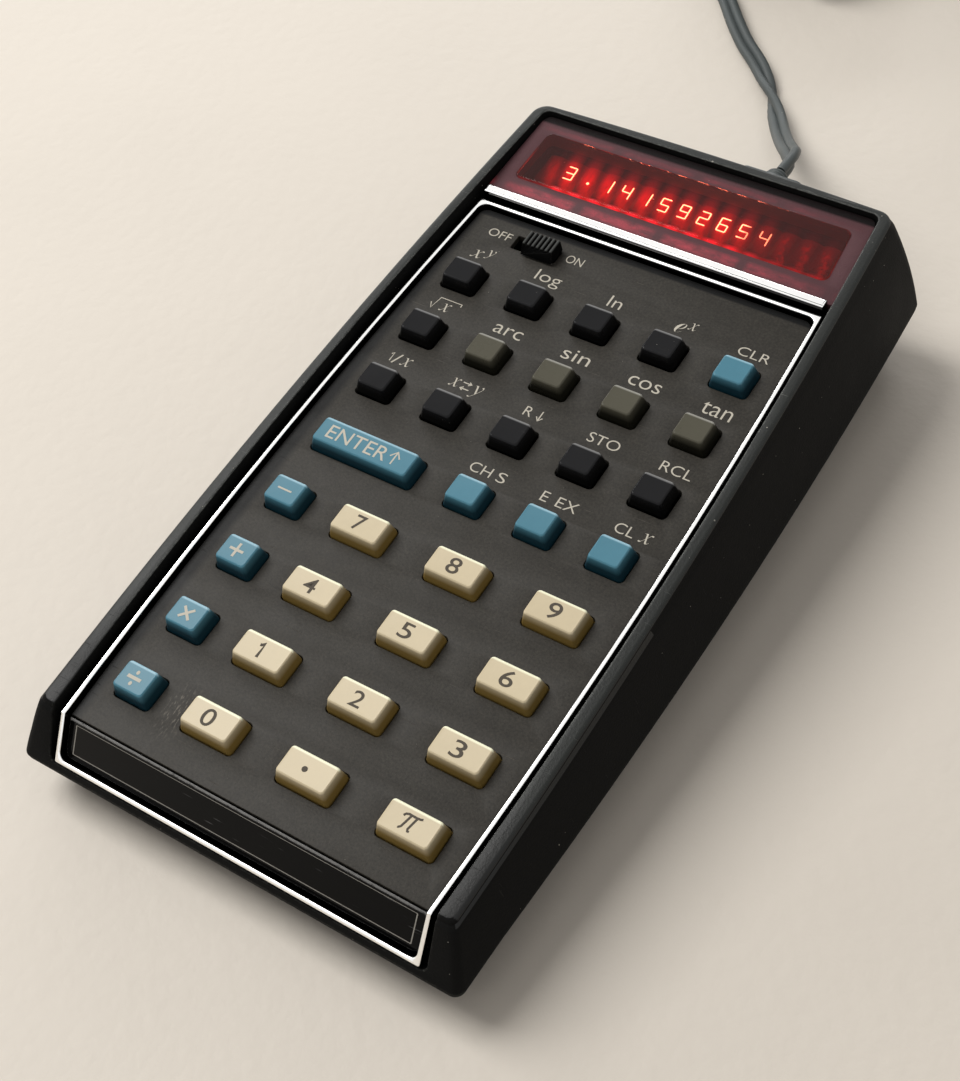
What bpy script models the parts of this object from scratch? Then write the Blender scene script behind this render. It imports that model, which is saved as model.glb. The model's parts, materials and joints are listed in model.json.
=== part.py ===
"""A pocket calculator with a red LED display and its charger, as separate parts.

Metres, +Z up, front edge towards -Y. The origin is on the floor under the middle of the calculator.
The keyboard lies in a plane that rises towards the display. Pieces that follow that plane are children
of the empty keyboard_plane, whose own origin is the middle of the first row of keys, on the key plate.
"""

from math import atan2, ceil, cos, pi, radians, sin, sqrt, tan

import bmesh
import bpy
from mathutils import Matrix, Vector

MM = 0.001

# Fits
SEAT_GAP = 0.3 * MM
KEY_TRAVEL = 1.2 * MM

# Keyboard grid, which the case is sized round
KEY_PITCH = 12.7 * MM
NUMBER_PITCH = 1.375 * KEY_PITCH
KEY_ROWS = 8
CASE_BEYOND_ROWS = 59.1 * MM
CASE_BEYOND_COLUMNS = 15.4 * MM

# Case
CASE_LENGTH = (KEY_ROWS - 1) * KEY_PITCH + CASE_BEYOND_ROWS
CASE_HALF_WIDTH = 2 * KEY_PITCH + CASE_BEYOND_COLUMNS
HEIGHT_FRONT = 17.6 * MM
HEIGHT_REAR = 33.0 * MM
PARTING_HEIGHT_FRONT = 7.3 * MM
PARTING_HEIGHT_REAR = 10.8 * MM
FLOOR_CLEARANCE = 1.2 * MM
WALL = 2.0 * MM
BASE_THICKNESS = 1.6 * MM
PARTING_BOW_RADIUS = 1270 * MM
PARTING_WIDEST_FROM_FRONT = 58.2 * MM
RIM_BOW_RADIUS = 1420 * MM
RIM_WIDEST_FROM_FRONT = 42.7 * MM
RECESS_BOW_RADIUS = 1100 * MM
RECESS_WIDEST_FROM_FRONT = 54.9 * MM
SIDE_SWELL = 0.4
BOW_REACH = 50 * MM
FRONT_RUN = 4.9 * MM
REAR_RUN = 5.8 * MM
SIDE_RUN = 3.35 * MM
BASE_RUN = 5.0 * MM
CAVITY_CORNER_RADIUS = 2.0 * MM
CAVITY_LEAN = 4.5 * MM
REAR_CROWN = 0.5 * MM
RIM_WIDTH = 2.15 * MM
RIM_WIDTH_REAR = 1.9 * MM
RIM_ROUNDING = 0.7 * MM
RIM_CORNER_RADIUS = 2.8 * MM
RIM_FRONT_CORNER_RADIUS = 1.2 * MM
PARTING_CORNER_RADIUS = 2.2 * MM
PARTING_FRONT_CORNER_RADIUS = 1.6 * MM

# Recess for the keyboard and the display
RIM_DEPTH_FRONT = 2.2 * MM
RIM_DEPTH_REAR = 3.2 * MM
PLATE_THICKNESS = 1.2 * MM
ROOF_THICKNESS = 1.5 * MM
RECESS_CORNER_RADIUS = 1.5 * MM

# Keys
KEY_HEIGHT = 2.46 * MM
KEY_EDGE = 0.3 * MM
KEY_TOP = (4.73 * MM, 4.2 * MM)
KEY_HOLE = (6.52 * MM, 5.74 * MM)
NUMBER_TOP_WIDTH = 7.9 * MM
NUMBER_HOLE_WIDTH = 9.5 * MM
ENTER_TOP_WIDTH = 17.4 * MM
ENTER_HOLE_WIDTH = 19.2 * MM
KEY_HOLE_GAP = 0.24 * MM
KEY_FLANGE = 0.45 * MM
KEY_FLANGE_THICKNESS = 0.9 * MM

# Key frame, a bright bead that folds over the front edge
FOLD_FROM_LAST_ROW = 9.3 * MM
FOLD_SETBACK = 0.35 * MM
FRONT_FALL = 52.5
FRONT_LENGTH = 8.7 * MM
FRAME_TOP = 1.1 * MM
FRAME_WIDTH = 0.8 * MM
FRAME_INSET = 1.05 * MM
FRAME_REAR_FROM_FIRST_ROW = 16.5 * MM
FRAME_CORNER_RADIUS = 1.5 * MM
FRAME_FOOT_RADIUS = 1.2 * MM
FRAME_OUTER_RADIUS = 0.4 * MM
FRONT_PLATE_THICKNESS = 0.6 * MM

# Power switch
SWITCH_X = -16.45 * MM
SWITCH_FROM_FIRST_ROW = 10.8 * MM
SWITCH_TRAVEL = 2.65 * MM
SWITCH_KNOB = (6.1 * MM, 3.0 * MM, 2.2 * MM)
SWITCH_SLOT_WIDTH = 3.0 * MM
SWITCH_RIDGES = 7
SWITCH_RIDGE_HEIGHT = 0.3 * MM
SWITCH_SLOPE = 0.9 * MM

# Display
TRIM_WIDTH = 1.7 * MM
TRIM_HEIGHT = 2.4 * MM
TRIM_FROM_CASE_SIDE = 8.7 * MM
TRIM_GROOVE = 0.65 * MM
WINDOW_TOP_FRONT = 1.0 * MM
WINDOW_TOP_REAR = 2.2 * MM
WINDOW_PANEL = (59.4 * MM, 58.2 * MM, 11.0 * MM)
WINDOW_PANEL_CORNER = 1.2 * MM
WINDOW_PANEL_RISE = 0.25 * MM
WINDOW_PANEL_FROM_FRONT = 3.9 * MM
DIGIT_COUNT = 15
DIGIT_PITCH = 3.75 * MM
DIGIT_MIDDLE_X = -0.5 * MM
DIGITS_FROM_FIRST_ROW = 30.4 * MM
DIGIT_DEPTH = 3.0 * MM
LENS_WIDTH = 6.0 * MM
LENS_BULGE = 0.9 * MM
LENS_THICKNESS = 1.6 * MM

# Boards
BOARD_THICKNESS = 1.6 * MM
SHEET_BASE_THICKNESS = 0.3 * MM
SHEET_HUMP_HEIGHT = 0.4 * MM
SHEET_HUMP_WIDTH = 4.0 * MM
KEYBOARD_BOARD_FROM_SIDE = 7.8 * MM
KEYBOARD_BOARD_REAR = 13.0 * MM
DISPLAY_BOARD_FROM_SIDE = 8.3 * MM
DISPLAY_BOARD_LENGTH = 15.0 * MM
LOGIC_BOARD_FROM_SIDE = 9.8 * MM
LOGIC_BOARD_REAR_FROM_FIRST_ROW = -9.5 * MM
LOGIC_BOARD_DEPTH = 8.9 * MM
CHIP_SIZE = (19.0 * MM, 6.6 * MM, 1.5 * MM)
CHIP_COUNT = 5
POST_RADIUS = 1.1 * MM

# Battery and its door
CELL_RADIUS = 7.1 * MM
CELL_LENGTH = 50.0 * MM
CELL_COUNT = 3
CELL_WEB = 6.0 * MM
DOOR_FROM_CASE_SIDE = 10.8 * MM
DOOR_FRONT_FROM_CASE_REAR = 49.9 * MM
HINGE_RADIUS = 0.8 * MM
PACK_FROM_HINGE = 1.1 * MM
SWING_CLEARANCE = 1.1 * MM

# Feet and latches
FOOT_RADIUS = 4.5 * MM
FOOT_FROM_CASE_SIDE = 14.3 * MM
FOOT_FROM_FRONT = 13.0 * MM
FOOT_RECESS = 0.8 * MM
LATCH_PAD = (10.0 * MM, 12.0 * MM)
LATCH_TRAVEL = 2.4 * MM
LATCH_NECK = (2.0 * MM, 3.0 * MM)
LATCH_TONGUE_REACH = 0.9 * MM
LATCH_TONGUE_THICKNESS = 0.8 * MM

# Charger socket and plug
SOCKET_X = 7.0 * MM
SOCKET_BELOW_TOP = 11.0 * MM
SOCKET_SIZE = (14.0 * MM, 6.6 * MM, 7.8 * MM)
SOCKET_MOUTH = (10.4 * MM, 5.4 * MM)
SOCKET_BACK = 1.0 * MM
SOCKET_FROM_REAR = 2.4 * MM
SOCKET_HOLE_DEPTH = 20.0 * MM
CONTACT_RADIUS = 0.6 * MM
CONTACT_PITCH = 3.2 * MM
CONTACT_LENGTH = 3.4 * MM
PLUG_GRIP = (12.4 * MM, 3.9 * MM, 5.6 * MM)
PLUG_GRIP_FROM_REAR = 0.4 * MM
PLUG_NECK_RADIUS = 2.5 * MM
PLUG_NECK_LENGTH = 2.3 * MM
PLUG_TRAVEL = 8.0 * MM

# Charger lead
CORD_DIAMETER = 3.4 * MM
CORD_LENGTH = 1800 * MM
CORD_STEP = 8.0 * MM
CORD_ROUTE = [
    (6.9, 84.6, 21.7),
    (5.0, 88.6, 19.8),
    (1.4, 94.6, 15.6),
    (-3.2, 102.4, 10.0),
    (-8.3, 110.9, 5.0),
    (-13.2, 118.6, 2.4),
    (-18.6, 126.0, 1.8),
    (-24.2, 132.2, 1.8),
    (-30.0, 137.4, 1.8),
    (-35.6, 143.4, 1.8),
    (-41.4, 150.2, 1.8),
    (-49.0, 158.0, 1.8),
]
COIL_CENTRE = (-40.0 * MM, 187.0 * MM)
COIL_START_ANGLE = 225.0
COIL_END_ANGLE = 90.0
COIL_LOOPS = 13
COIL_LAYERS = 4
COIL_POINTS_PER_TURN = 24
COIL_GAP = 0.6 * MM
COIL_TRIAL_RADIUS = 20.0 * MM

# Charger block
BLOCK_SIZE = (44.0 * MM, 40.0 * MM, 30.0 * MM)
BLOCK_FROM_COIL = 30.0 * MM
BLOCK_ROUNDING = 2.5 * MM
BLOCK_RELIEF_RADIUS = (3.4 * MM, 2.6 * MM)
BLOCK_RELIEF_LENGTH = 14.0 * MM
PIN_SIZE = (1.5 * MM, 6.3 * MM, 16.0 * MM)
PIN_SPACING = 12.7 * MM
PIN_BASE = (20.0 * MM, 12.0 * MM, 2.0 * MM)

# Facets
FRONT_STEPS = 3
CORNER_STEPS = 4
SIDE_STEPS = 6
EDGE_STEPS = 3

# Colour, roughness and metal of each material
FINISHES = {
    "case_black": ((0.012, 0.012, 0.012), 0.6, 0.0),
    "plate_grey": ((0.055, 0.048, 0.042), 0.5, 0.0),
    "chrome": ((0.82, 0.82, 0.80), 0.12, 1.0),
    "window_red": ((0.12, 0.012, 0.015), 0.12, 0.0),
    "key_black": ((0.012, 0.012, 0.013), 0.3, 0.0),
    "key_grey": ((0.095, 0.09, 0.07), 0.35, 0.0),
    "key_blue": ((0.08, 0.27, 0.42), 0.35, 0.0),
    "key_beige": ((0.67, 0.56, 0.38), 0.35, 0.0),
    "board_green": ((0.02, 0.10, 0.04), 0.5, 0.0),
    "contact_metal": ((0.75, 0.62, 0.32), 0.3, 1.0),
    "lens_clear": ((0.55, 0.10, 0.10), 0.08, 0.0),
    "battery_wrap": ((0.35, 0.33, 0.28), 0.5, 0.0),
    "foot_rubber": ((0.02, 0.02, 0.02), 0.8, 0.0),
    "cord_grey": ((0.03, 0.032, 0.035), 0.45, 0.0),
    "pin_metal": ((0.70, 0.68, 0.62), 0.25, 1.0),
}

# Each key's name, column or x place, width and finish, one list to a row from the display down
SMALL = (KEY_TOP[0], KEY_HOLE[0])
NUMBER = (NUMBER_TOP_WIDTH, NUMBER_HOLE_WIDTH)
ENTER = (ENTER_TOP_WIDTH, ENTER_HOLE_WIDTH)

# Places that follow from the sizes
PARTING_SIDE = (CASE_HALF_WIDTH, -CASE_LENGTH / 2 + PARTING_WIDEST_FROM_FRONT, PARTING_BOW_RADIUS)
RIM_FRONT_Y = -CASE_LENGTH / 2 + FRONT_RUN
RIM_REAR_Y = CASE_LENGTH / 2 - REAR_RUN
RIM_HALF_WIDTH = CASE_HALF_WIDTH - SIDE_RUN
RIM_SIDE = (RIM_HALF_WIDTH, -CASE_LENGTH / 2 + RIM_WIDEST_FROM_FRONT, RIM_BOW_RADIUS)
RIM_SLOPE = (HEIGHT_REAR - HEIGHT_FRONT) / (RIM_REAR_Y - RIM_FRONT_Y)
KEY_TILT = atan2(
    HEIGHT_REAR - RIM_DEPTH_REAR - HEIGHT_FRONT + RIM_DEPTH_FRONT, RIM_REAR_Y - RIM_FRONT_Y
)
LAST_ROW = -(KEY_ROWS - 1) * KEY_PITCH
FOLD = LAST_ROW - FOLD_FROM_LAST_ROW
PLANE_Y = RIM_FRONT_Y + FOLD_SETBACK - FOLD * cos(KEY_TILT)
PLANE_Z = HEIGHT_FRONT - RIM_DEPTH_FRONT + (PLANE_Y - RIM_FRONT_Y) * tan(KEY_TILT)
LEDGE = -PLATE_THICKNESS - SEAT_GAP
ROOF = LEDGE - ROOF_THICKNESS
PLATE_INSET = FRAME_INSET + FRAME_WIDTH + SEAT_GAP
FLANGE_TOP = -PLATE_THICKNESS - SEAT_GAP
FLANGE_BOTTOM = FLANGE_TOP - KEY_FLANGE_THICKNESS
SHEET_TOP = FLANGE_BOTTOM - KEY_TRAVEL - SEAT_GAP
SHEET_BOTTOM = SHEET_TOP - SHEET_HUMP_HEIGHT - SHEET_BASE_THICKNESS
BOARD_TOP = SHEET_BOTTOM - SEAT_GAP
KEYS_HALF_WIDTH = 2 * KEY_PITCH + KEY_HOLE[0] / 2 + KEY_FLANGE
OPENING_HALF_WIDTH = KEYS_HALF_WIDTH + 2 * SEAT_GAP
KEYS_FRONT = LAST_ROW - KEY_HOLE[1] / 2 - KEY_FLANGE
TRIM_FRONT = FRAME_REAR_FROM_FIRST_ROW + TRIM_GROOVE
WINDOW_FRONT = TRIM_FRONT + TRIM_WIDTH + SEAT_GAP
TRIM_HALF_LENGTH = CASE_HALF_WIDTH - TRIM_FROM_CASE_SIDE
LENS_LENGTH = DIGIT_COUNT * DIGIT_PITCH
KEYBOARD_BOARD_HALF_WIDTH = CASE_HALF_WIDTH - KEYBOARD_BOARD_FROM_SIDE
DISPLAY_BOARD_HALF_WIDTH = CASE_HALF_WIDTH - DISPLAY_BOARD_FROM_SIDE
LOGIC_BOARD_HALF_WIDTH = CASE_HALF_WIDTH - LOGIC_BOARD_FROM_SIDE
DOOR_HALF_WIDTH = CASE_HALF_WIDTH - DOOR_FROM_CASE_SIDE
DOOR_FRONT_Y = CASE_LENGTH / 2 - DOOR_FRONT_FROM_CASE_REAR
FOOT_X = CASE_HALF_WIDTH - FOOT_FROM_CASE_SIDE
BASE_TOP = FLOOR_CLEARANCE + BASE_THICKNESS
HINGE_Y = DOOR_FRONT_Y + HINGE_RADIUS
HINGE_Z = FLOOR_CLEARANCE + HINGE_RADIUS
PACK_FRONT_Y = HINGE_Y - PACK_FROM_HINGE
PACK_REAR_Y = PACK_FRONT_Y + 2 * CELL_COUNT * CELL_RADIUS
DOOR_REAR_Y = PACK_REAR_Y + SWING_CLEARANCE
CELL_HEIGHT = BASE_TOP + SEAT_GAP + CELL_RADIUS
LATCH_Y = PACK_REAR_Y - 2 * CELL_RADIUS
LATCH_NECK_X = DOOR_HALF_WIDTH - 1.0 * MM - LATCH_NECK[0] / 2
SOCKET_HEIGHT = HEIGHT_REAR - SOCKET_BELOW_TOP
SOCKET_REAR_Y = CASE_LENGTH / 2 - SOCKET_FROM_REAR
PLUG_GRIP_FRONT_Y = CASE_LENGTH / 2 - PLUG_GRIP_FROM_REAR
PLUG_GRIP_REAR_Y = PLUG_GRIP_FRONT_Y + PLUG_GRIP[1]
CORD_START = Vector((SOCKET_X, PLUG_GRIP_REAR_Y + PLUG_NECK_LENGTH + SEAT_GAP, SOCKET_HEIGHT))
CORD_FLOOR = CORD_DIAMETER / 2 + 0.1 * MM
COIL_PITCH = CORD_DIAMETER + COIL_GAP


def column(number):
    """Place across the keyboard of a column, counted from the left."""
    return (number - 2) * KEY_PITCH


# The number keys start at the left edge of the second column's holes
FIRST_NUMBER_X = column(1) - KEY_HOLE[0] / 2 + NUMBER_HOLE_WIDTH / 2
NUMBER_X = [FIRST_NUMBER_X + i * NUMBER_PITCH for i in range(3)]
ENTER_X = (column(0) + column(1)) / 2

KEY_LAYOUT = [
    [("x_to_y", column(0), SMALL, "key_black"), ("log", column(1), SMALL, "key_black"),
     ("ln", column(2), SMALL, "key_black"), ("e_to_x", column(3), SMALL, "key_black"),
     ("clr", column(4), SMALL, "key_blue")],
    [("sqrt", column(0), SMALL, "key_black"), ("arc", column(1), SMALL, "key_grey"),
     ("sin", column(2), SMALL, "key_grey"), ("cos", column(3), SMALL, "key_grey"),
     ("tan", column(4), SMALL, "key_grey")],
    [("one_over_x", column(0), SMALL, "key_black"), ("swap", column(1), SMALL, "key_black"),
     ("roll_down", column(2), SMALL, "key_black"), ("sto", column(3), SMALL, "key_black"),
     ("rcl", column(4), SMALL, "key_black")],
    [("enter", ENTER_X, ENTER, "key_blue"), ("chs", column(2), SMALL, "key_blue"),
     ("eex", column(3), SMALL, "key_blue"), ("clx", column(4), SMALL, "key_blue")],
    [("minus", column(0), SMALL, "key_blue"), ("7", NUMBER_X[0], NUMBER, "key_beige"),
     ("8", NUMBER_X[1], NUMBER, "key_beige"), ("9", NUMBER_X[2], NUMBER, "key_beige")],
    [("plus", column(0), SMALL, "key_blue"), ("4", NUMBER_X[0], NUMBER, "key_beige"),
     ("5", NUMBER_X[1], NUMBER, "key_beige"), ("6", NUMBER_X[2], NUMBER, "key_beige")],
    [("times", column(0), SMALL, "key_blue"), ("1", NUMBER_X[0], NUMBER, "key_beige"),
     ("2", NUMBER_X[1], NUMBER, "key_beige"), ("3", NUMBER_X[2], NUMBER, "key_beige")],
    [("divide", column(0), SMALL, "key_blue"), ("0", NUMBER_X[0], NUMBER, "key_beige"),
     ("point", NUMBER_X[1], NUMBER, "key_beige"), ("pi", NUMBER_X[2], NUMBER, "key_beige")],
]


def all_keys():
    """Every key as (name, x, y, (top width, hole width), finish)."""
    for row, keys in enumerate(KEY_LAYOUT):
        for name, x, widths, finish in keys:
            yield name, x, -row * KEY_PITCH, widths, finish


# Scene and materials


def clear_scene():
    for obj in list(bpy.data.objects):
        bpy.data.objects.remove(obj, do_unlink=True)


def new_collection(name):
    made = bpy.data.collections.new(name)
    bpy.context.scene.collection.children.link(made)
    return made


def finish_material(name):
    """The named finish as a Principled material, made once."""
    if name in bpy.data.materials:
        return bpy.data.materials[name]
    colour, roughness, metallic = FINISHES[name]
    material = bpy.data.materials.new(name)
    material.use_nodes = True
    shader = material.node_tree.nodes["Principled BSDF"]
    shader.inputs["Base Color"].default_value = (*colour, 1)
    shader.inputs["Roughness"].default_value = roughness
    shader.inputs["Metallic"].default_value = metallic
    return material


def new_part(name, mesh, finish, parent=None, location=(0, 0, 0)):
    """A visible sub-part with its finish, in the calculator's collection."""
    part = bpy.data.objects.new(name, mesh)
    bpy.data.collections["calculator"].objects.link(part)
    mesh.materials.append(finish_material(finish))
    mesh.shade_smooth()
    mesh.set_sharp_from_angle(angle=radians(30))
    part.parent = parent
    part.location = location
    return part


def new_tool(name, mesh, parent=None, location=(0, 0, 0)):
    """A body that only cuts or joins."""
    tool = bpy.data.objects.new(name, mesh)
    bpy.data.collections["cutters"].objects.link(tool)
    tool.hide_render = True
    tool.display_type = "WIRE"
    tool.parent = parent
    tool.location = location
    return tool


def combine(part, tools, operation="DIFFERENCE"):
    """Cuts the tools from the part, or joins them to it."""
    for tool in tools:
        modifier = part.modifiers.new(tool.name, "BOOLEAN")
        modifier.operation = operation
        modifier.object = tool


# Outlines and meshes


def arc(centre, radius, start, end, steps):
    """Points along an arc from one angle to another, in degrees, or its centre for a sharp corner."""
    if not radius:
        return [centre]
    return [
        (centre[0] + radius * cos(radians(a)), centre[1] + radius * sin(radians(a)))
        for a in (start + (end - start) * i / steps for i in range(steps + 1))
    ]


def bowed_outline(side, front, rear, front_radius, rear_radius, crown=0.0, inset=0.0):
    """Plan outline with bowed sides and rounded corners, anticlockwise from the right of its front.

    A side is its half width where it is widest, that place along Y, and the radius of its bow. It runs
    nearly straight over the last stretch to the front.
    """

    def half_width(y):
        half, widest, bow_radius = side
        return half - inset - (max(y, widest - BOW_REACH) - widest) ** 2 / (2 * bow_radius)

    first, last = front + front_radius, rear - crown - rear_radius
    right = arc((half_width(first) - front_radius, first), front_radius, -90, 0, FRONT_STEPS)
    for i in range(1, SIDE_STEPS):
        y = first + (last - first) * i / SIDE_STEPS
        right.append((half_width(y), y))
    corner = half_width(last) - rear_radius
    right += arc((corner, last), rear_radius, 0, 90, CORNER_STEPS)
    mirrored = [(-x, y) for x, y in reversed(right)]
    # A straight rear edge takes no points between its corners, and a crowned one does.
    crowned = []
    if crown:
        for i in range(1, 2 * EDGE_STEPS):
            share = 1 - i / EDGE_STEPS
            crowned.append((corner * share, rear - crown * share**2))
    return right + crowned + mirrored


def rectangle(width, depth, centre=(0.0, 0.0), corner=0.0):
    """Rectangle outline, with its corners cut where corner is given."""
    x, y = width / 2, depth / 2
    if not corner:
        points = [(-x, -y), (x, -y), (x, y), (-x, y)]
    else:
        c = corner
        points = [(-x + c, -y), (x - c, -y), (x, -y + c), (x, y - c),
                  (x - c, y), (-x + c, y), (-x, y - c), (-x, -y + c)]
    return [(centre[0] + a, centre[1] + b) for a, b in points]


def loft(name, rings):
    """Closed skin over rings of equally many points, from the lowest ring to the highest."""
    builder = bmesh.new()
    loops = [[builder.verts.new(point) for point in ring] for ring in rings]
    for lower, upper in zip(loops, loops[1:]):
        for i in range(len(lower)):
            j = (i + 1) % len(lower)
            builder.faces.new((lower[i], lower[j], upper[j], upper[i]))
    builder.faces.new(reversed(loops[0]))
    builder.faces.new(loops[-1])
    return mesh_from(builder, name)


def mesh_from(builder, name):
    mesh = bpy.data.meshes.new(name)
    builder.to_mesh(mesh)
    builder.free()
    return mesh


def flat_solid(name, outlines, low, high):
    """Extrudes a flat outline, with any further outlines as its holes, from one height to another."""
    curve = bpy.data.curves.new(name, "CURVE")
    curve.dimensions = "2D"
    curve.fill_mode = "BOTH"
    curve.extrude = (high - low) / 2
    for outline in outlines:
        spline = curve.splines.new("POLY")
        spline.points.add(len(outline) - 1)
        for point, (x, y) in zip(spline.points, outline):
            point.co = (x, y, 0, 1)
        spline.use_cyclic_u = True
    holder = bpy.data.objects.new(name, curve)
    bpy.data.collections["cutters"].objects.link(holder)
    graph = bpy.context.evaluated_depsgraph_get()
    mesh = bpy.data.meshes.new_from_object(holder.evaluated_get(graph))
    bpy.data.objects.remove(holder)
    bpy.data.curves.remove(curve)
    builder = bmesh.new()
    builder.from_mesh(mesh)
    bpy.data.meshes.remove(mesh)
    bmesh.ops.remove_doubles(builder, verts=builder.verts, dist=0.001 * MM)
    bmesh.ops.translate(builder, verts=builder.verts, vec=(0, 0, (low + high) / 2))
    bmesh.ops.recalc_face_normals(builder, faces=builder.faces)
    return mesh_from(builder, name)


def side_solid(name, outline, left, right):
    """Extrudes an outline given as (y, z) along X."""
    mesh = flat_solid(name, [outline], left, right)
    # Turns (x, y, z) into (z, x, y), so that the outline stands up and faces along X.
    mesh.transform(Matrix(((0, 0, 1, 0), (1, 0, 0, 0), (0, 1, 0, 0), (0, 0, 0, 1))))
    return mesh


def box(name, size, centre):
    builder = bmesh.new()
    bmesh.ops.create_cube(builder, size=1.0)
    bmesh.ops.scale(builder, verts=builder.verts, vec=size)
    bmesh.ops.translate(builder, verts=builder.verts, vec=centre)
    return mesh_from(builder, name)


def cylinders(name, places, radius, low, high, top_radius=None, sides=12):
    """Upright cylinders or cones at the given (x, y) places, as one mesh."""
    builder = bmesh.new()
    for x, y in places:
        bmesh.ops.create_cone(
            builder,
            cap_ends=True,
            segments=sides,
            radius1=radius,
            radius2=radius if top_radius is None else top_radius,
            depth=high - low,
            matrix=Matrix.Translation((x, y, (low + high) / 2)),
        )
    return mesh_from(builder, name)


def add_bevel(part, width, segments=2, angle=35):
    modifier = part.modifiers.new("rounding", "BEVEL")
    modifier.width = width
    modifier.segments = segments
    modifier.limit_method = "ANGLE"
    modifier.angle_limit = radians(angle)


# Case


def rim_height(y):
    return HEIGHT_FRONT + (y - RIM_FRONT_Y) * RIM_SLOPE


def parting_height(y):
    return mix(PARTING_HEIGHT_FRONT, PARTING_HEIGHT_REAR, y / CASE_LENGTH + 0.5)


def mix(a, b, share):
    return a + (b - a) * share


def mix_side(share):
    """Side between the rim's, at share 0, and the parting line's."""
    return tuple(mix(a, b, share) for a, b in zip(RIM_SIDE, PARTING_SIDE))


def case_ring(share, inset=0.0, drop=0.0):
    """Ring round the upper case, from the rim at share 0 down to the parting line at share 1.

    The sides and the rear swell out under the rim and then fall straighter, while the front is one
    flat slope.
    """
    swell = share + SIDE_SWELL * share * (1 - share)
    ring = bowed_outline(
        mix_side(swell),
        mix(RIM_FRONT_Y, -CASE_LENGTH / 2, share) + inset,
        mix(RIM_REAR_Y, CASE_LENGTH / 2, swell) - inset,
        mix(RIM_FRONT_CORNER_RADIUS, PARTING_FRONT_CORNER_RADIUS, share),
        mix(RIM_CORNER_RADIUS, PARTING_CORNER_RADIUS, swell) - inset / 2,
        REAR_CROWN,
        inset,
    )
    rim = case_ring(0, inset, drop) if share else [(x, y, rim_height(y) - drop) for x, y in ring]
    return [
        (x, y, mix(top, parting_height(y), share)) for (x, y), (_, _, top) in zip(ring, rim)
    ]


def plane_height(y, z):
    """Height above the floor of the keyboard plane's level z, straight above a place on the floor."""
    return PLANE_Z + (y - PLANE_Y) * tan(KEY_TILT) + z / cos(KEY_TILT)


def cavity_ring(share, lean, rear_inset, height):
    """Ring of the room inside the upper case, between the rim's size and the parting line's."""
    ring = bowed_outline(
        mix_side(share), -CASE_LENGTH / 2 + lean, CASE_LENGTH / 2 - rear_inset - WALL,
        PARTING_FRONT_CORNER_RADIUS, CAVITY_CORNER_RADIUS, REAR_CROWN, WALL,
    )
    return [(x, y, height(y)) for x, y in ring]


def front_point(below, along):
    """Point (y, z) on the front slope, below the frame's face and along the slope from the fold."""
    fall = radians(FRONT_FALL)
    return (
        FOLD - along * cos(fall) + below * sin(fall),
        FRAME_TOP - along * sin(fall) - below * cos(fall),
    )


def fold_over_front(mesh, front_rise=0.0):
    """Folds a flat mesh, drawn as if the front slope lay flat, down over the front edge.

    Its lower face lies front_rise nearer the surface on the slope than it does on top.
    """
    builder = bmesh.new()
    builder.from_mesh(mesh)
    bmesh.ops.bisect_plane(
        builder,
        geom=builder.verts[:] + builder.edges[:] + builder.faces[:],
        dist=0.001 * MM,
        plane_co=(0, FOLD, 0),
        plane_no=(0, 1, 0),
    )
    fall = radians(FRONT_FALL)
    for vertex in builder.verts:
        below = FRAME_TOP - vertex.co.z
        below_front = below - front_rise if below > FRAME_TOP else below
        if abs(vertex.co.y - FOLD) < 0.01 * MM:
            vertex.co.y = FOLD + (below_front - below * cos(fall)) / sin(fall)
        elif vertex.co.y < FOLD:
            vertex.co.y, vertex.co.z = front_point(below_front, FOLD - vertex.co.y)
    builder.to_mesh(mesh)
    builder.free()
    return mesh


def recess_tool(plane):
    """What is cut away for the keyboard, its front slope and the display, down to the ledge."""
    outline = bowed_outline(
        recess_side(0),
        FOLD - FRONT_LENGTH - SEAT_GAP,
        recess_rear(),
        FRAME_FOOT_RADIUS,
        RECESS_CORNER_RADIUS,
    )
    mesh = flat_solid("recess", [outline], LEDGE, FRAME_TOP + 6 * MM)
    front_rise = PLATE_THICKNESS - FRONT_PLATE_THICKNESS
    return new_tool("recess", fold_over_front(mesh, front_rise), plane)


def in_plane(y, z):
    """A place in the world, (y, z), as the keyboard plane's own (y, z)."""
    dy, dz = y - PLANE_Y, z - PLANE_Z
    return dy * cos(KEY_TILT) + dz * sin(KEY_TILT), dz * cos(KEY_TILT) - dy * sin(KEY_TILT)


def recess_rear():
    return in_plane(RIM_REAR_Y, HEIGHT_REAR)[0] - RIM_WIDTH_REAR


def recess_side(inset):
    """Side of the recess, or of what lies in it at the given distance from its wall."""
    widest = in_plane(-CASE_LENGTH / 2 + RECESS_WIDEST_FROM_FRONT, PLANE_Z)[0]
    return (RIM_HALF_WIDTH - RIM_WIDTH - inset, widest, RECESS_BOW_RADIUS)


def board_posts():
    """Places of the posts that carry the keyboard board and the display board."""
    side = (OPENING_HALF_WIDTH + KEYBOARD_BOARD_HALF_WIDTH) / 2
    rows = (KEYS_FRONT + 4 * POST_RADIUS, (KEYS_FRONT + KEYBOARD_BOARD_REAR) / 2,
            KEYBOARD_BOARD_REAR - 2 * POST_RADIUS)
    places = [(x, y) for x in (-side, side) for y in rows]
    side = DISPLAY_BOARD_HALF_WIDTH - 1.3 * POST_RADIUS
    rear = WINDOW_FRONT + DISPLAY_BOARD_LENGTH
    places += [(x, rear - 1.5 * POST_RADIUS) for x in (-side, side)]
    return places


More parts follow.
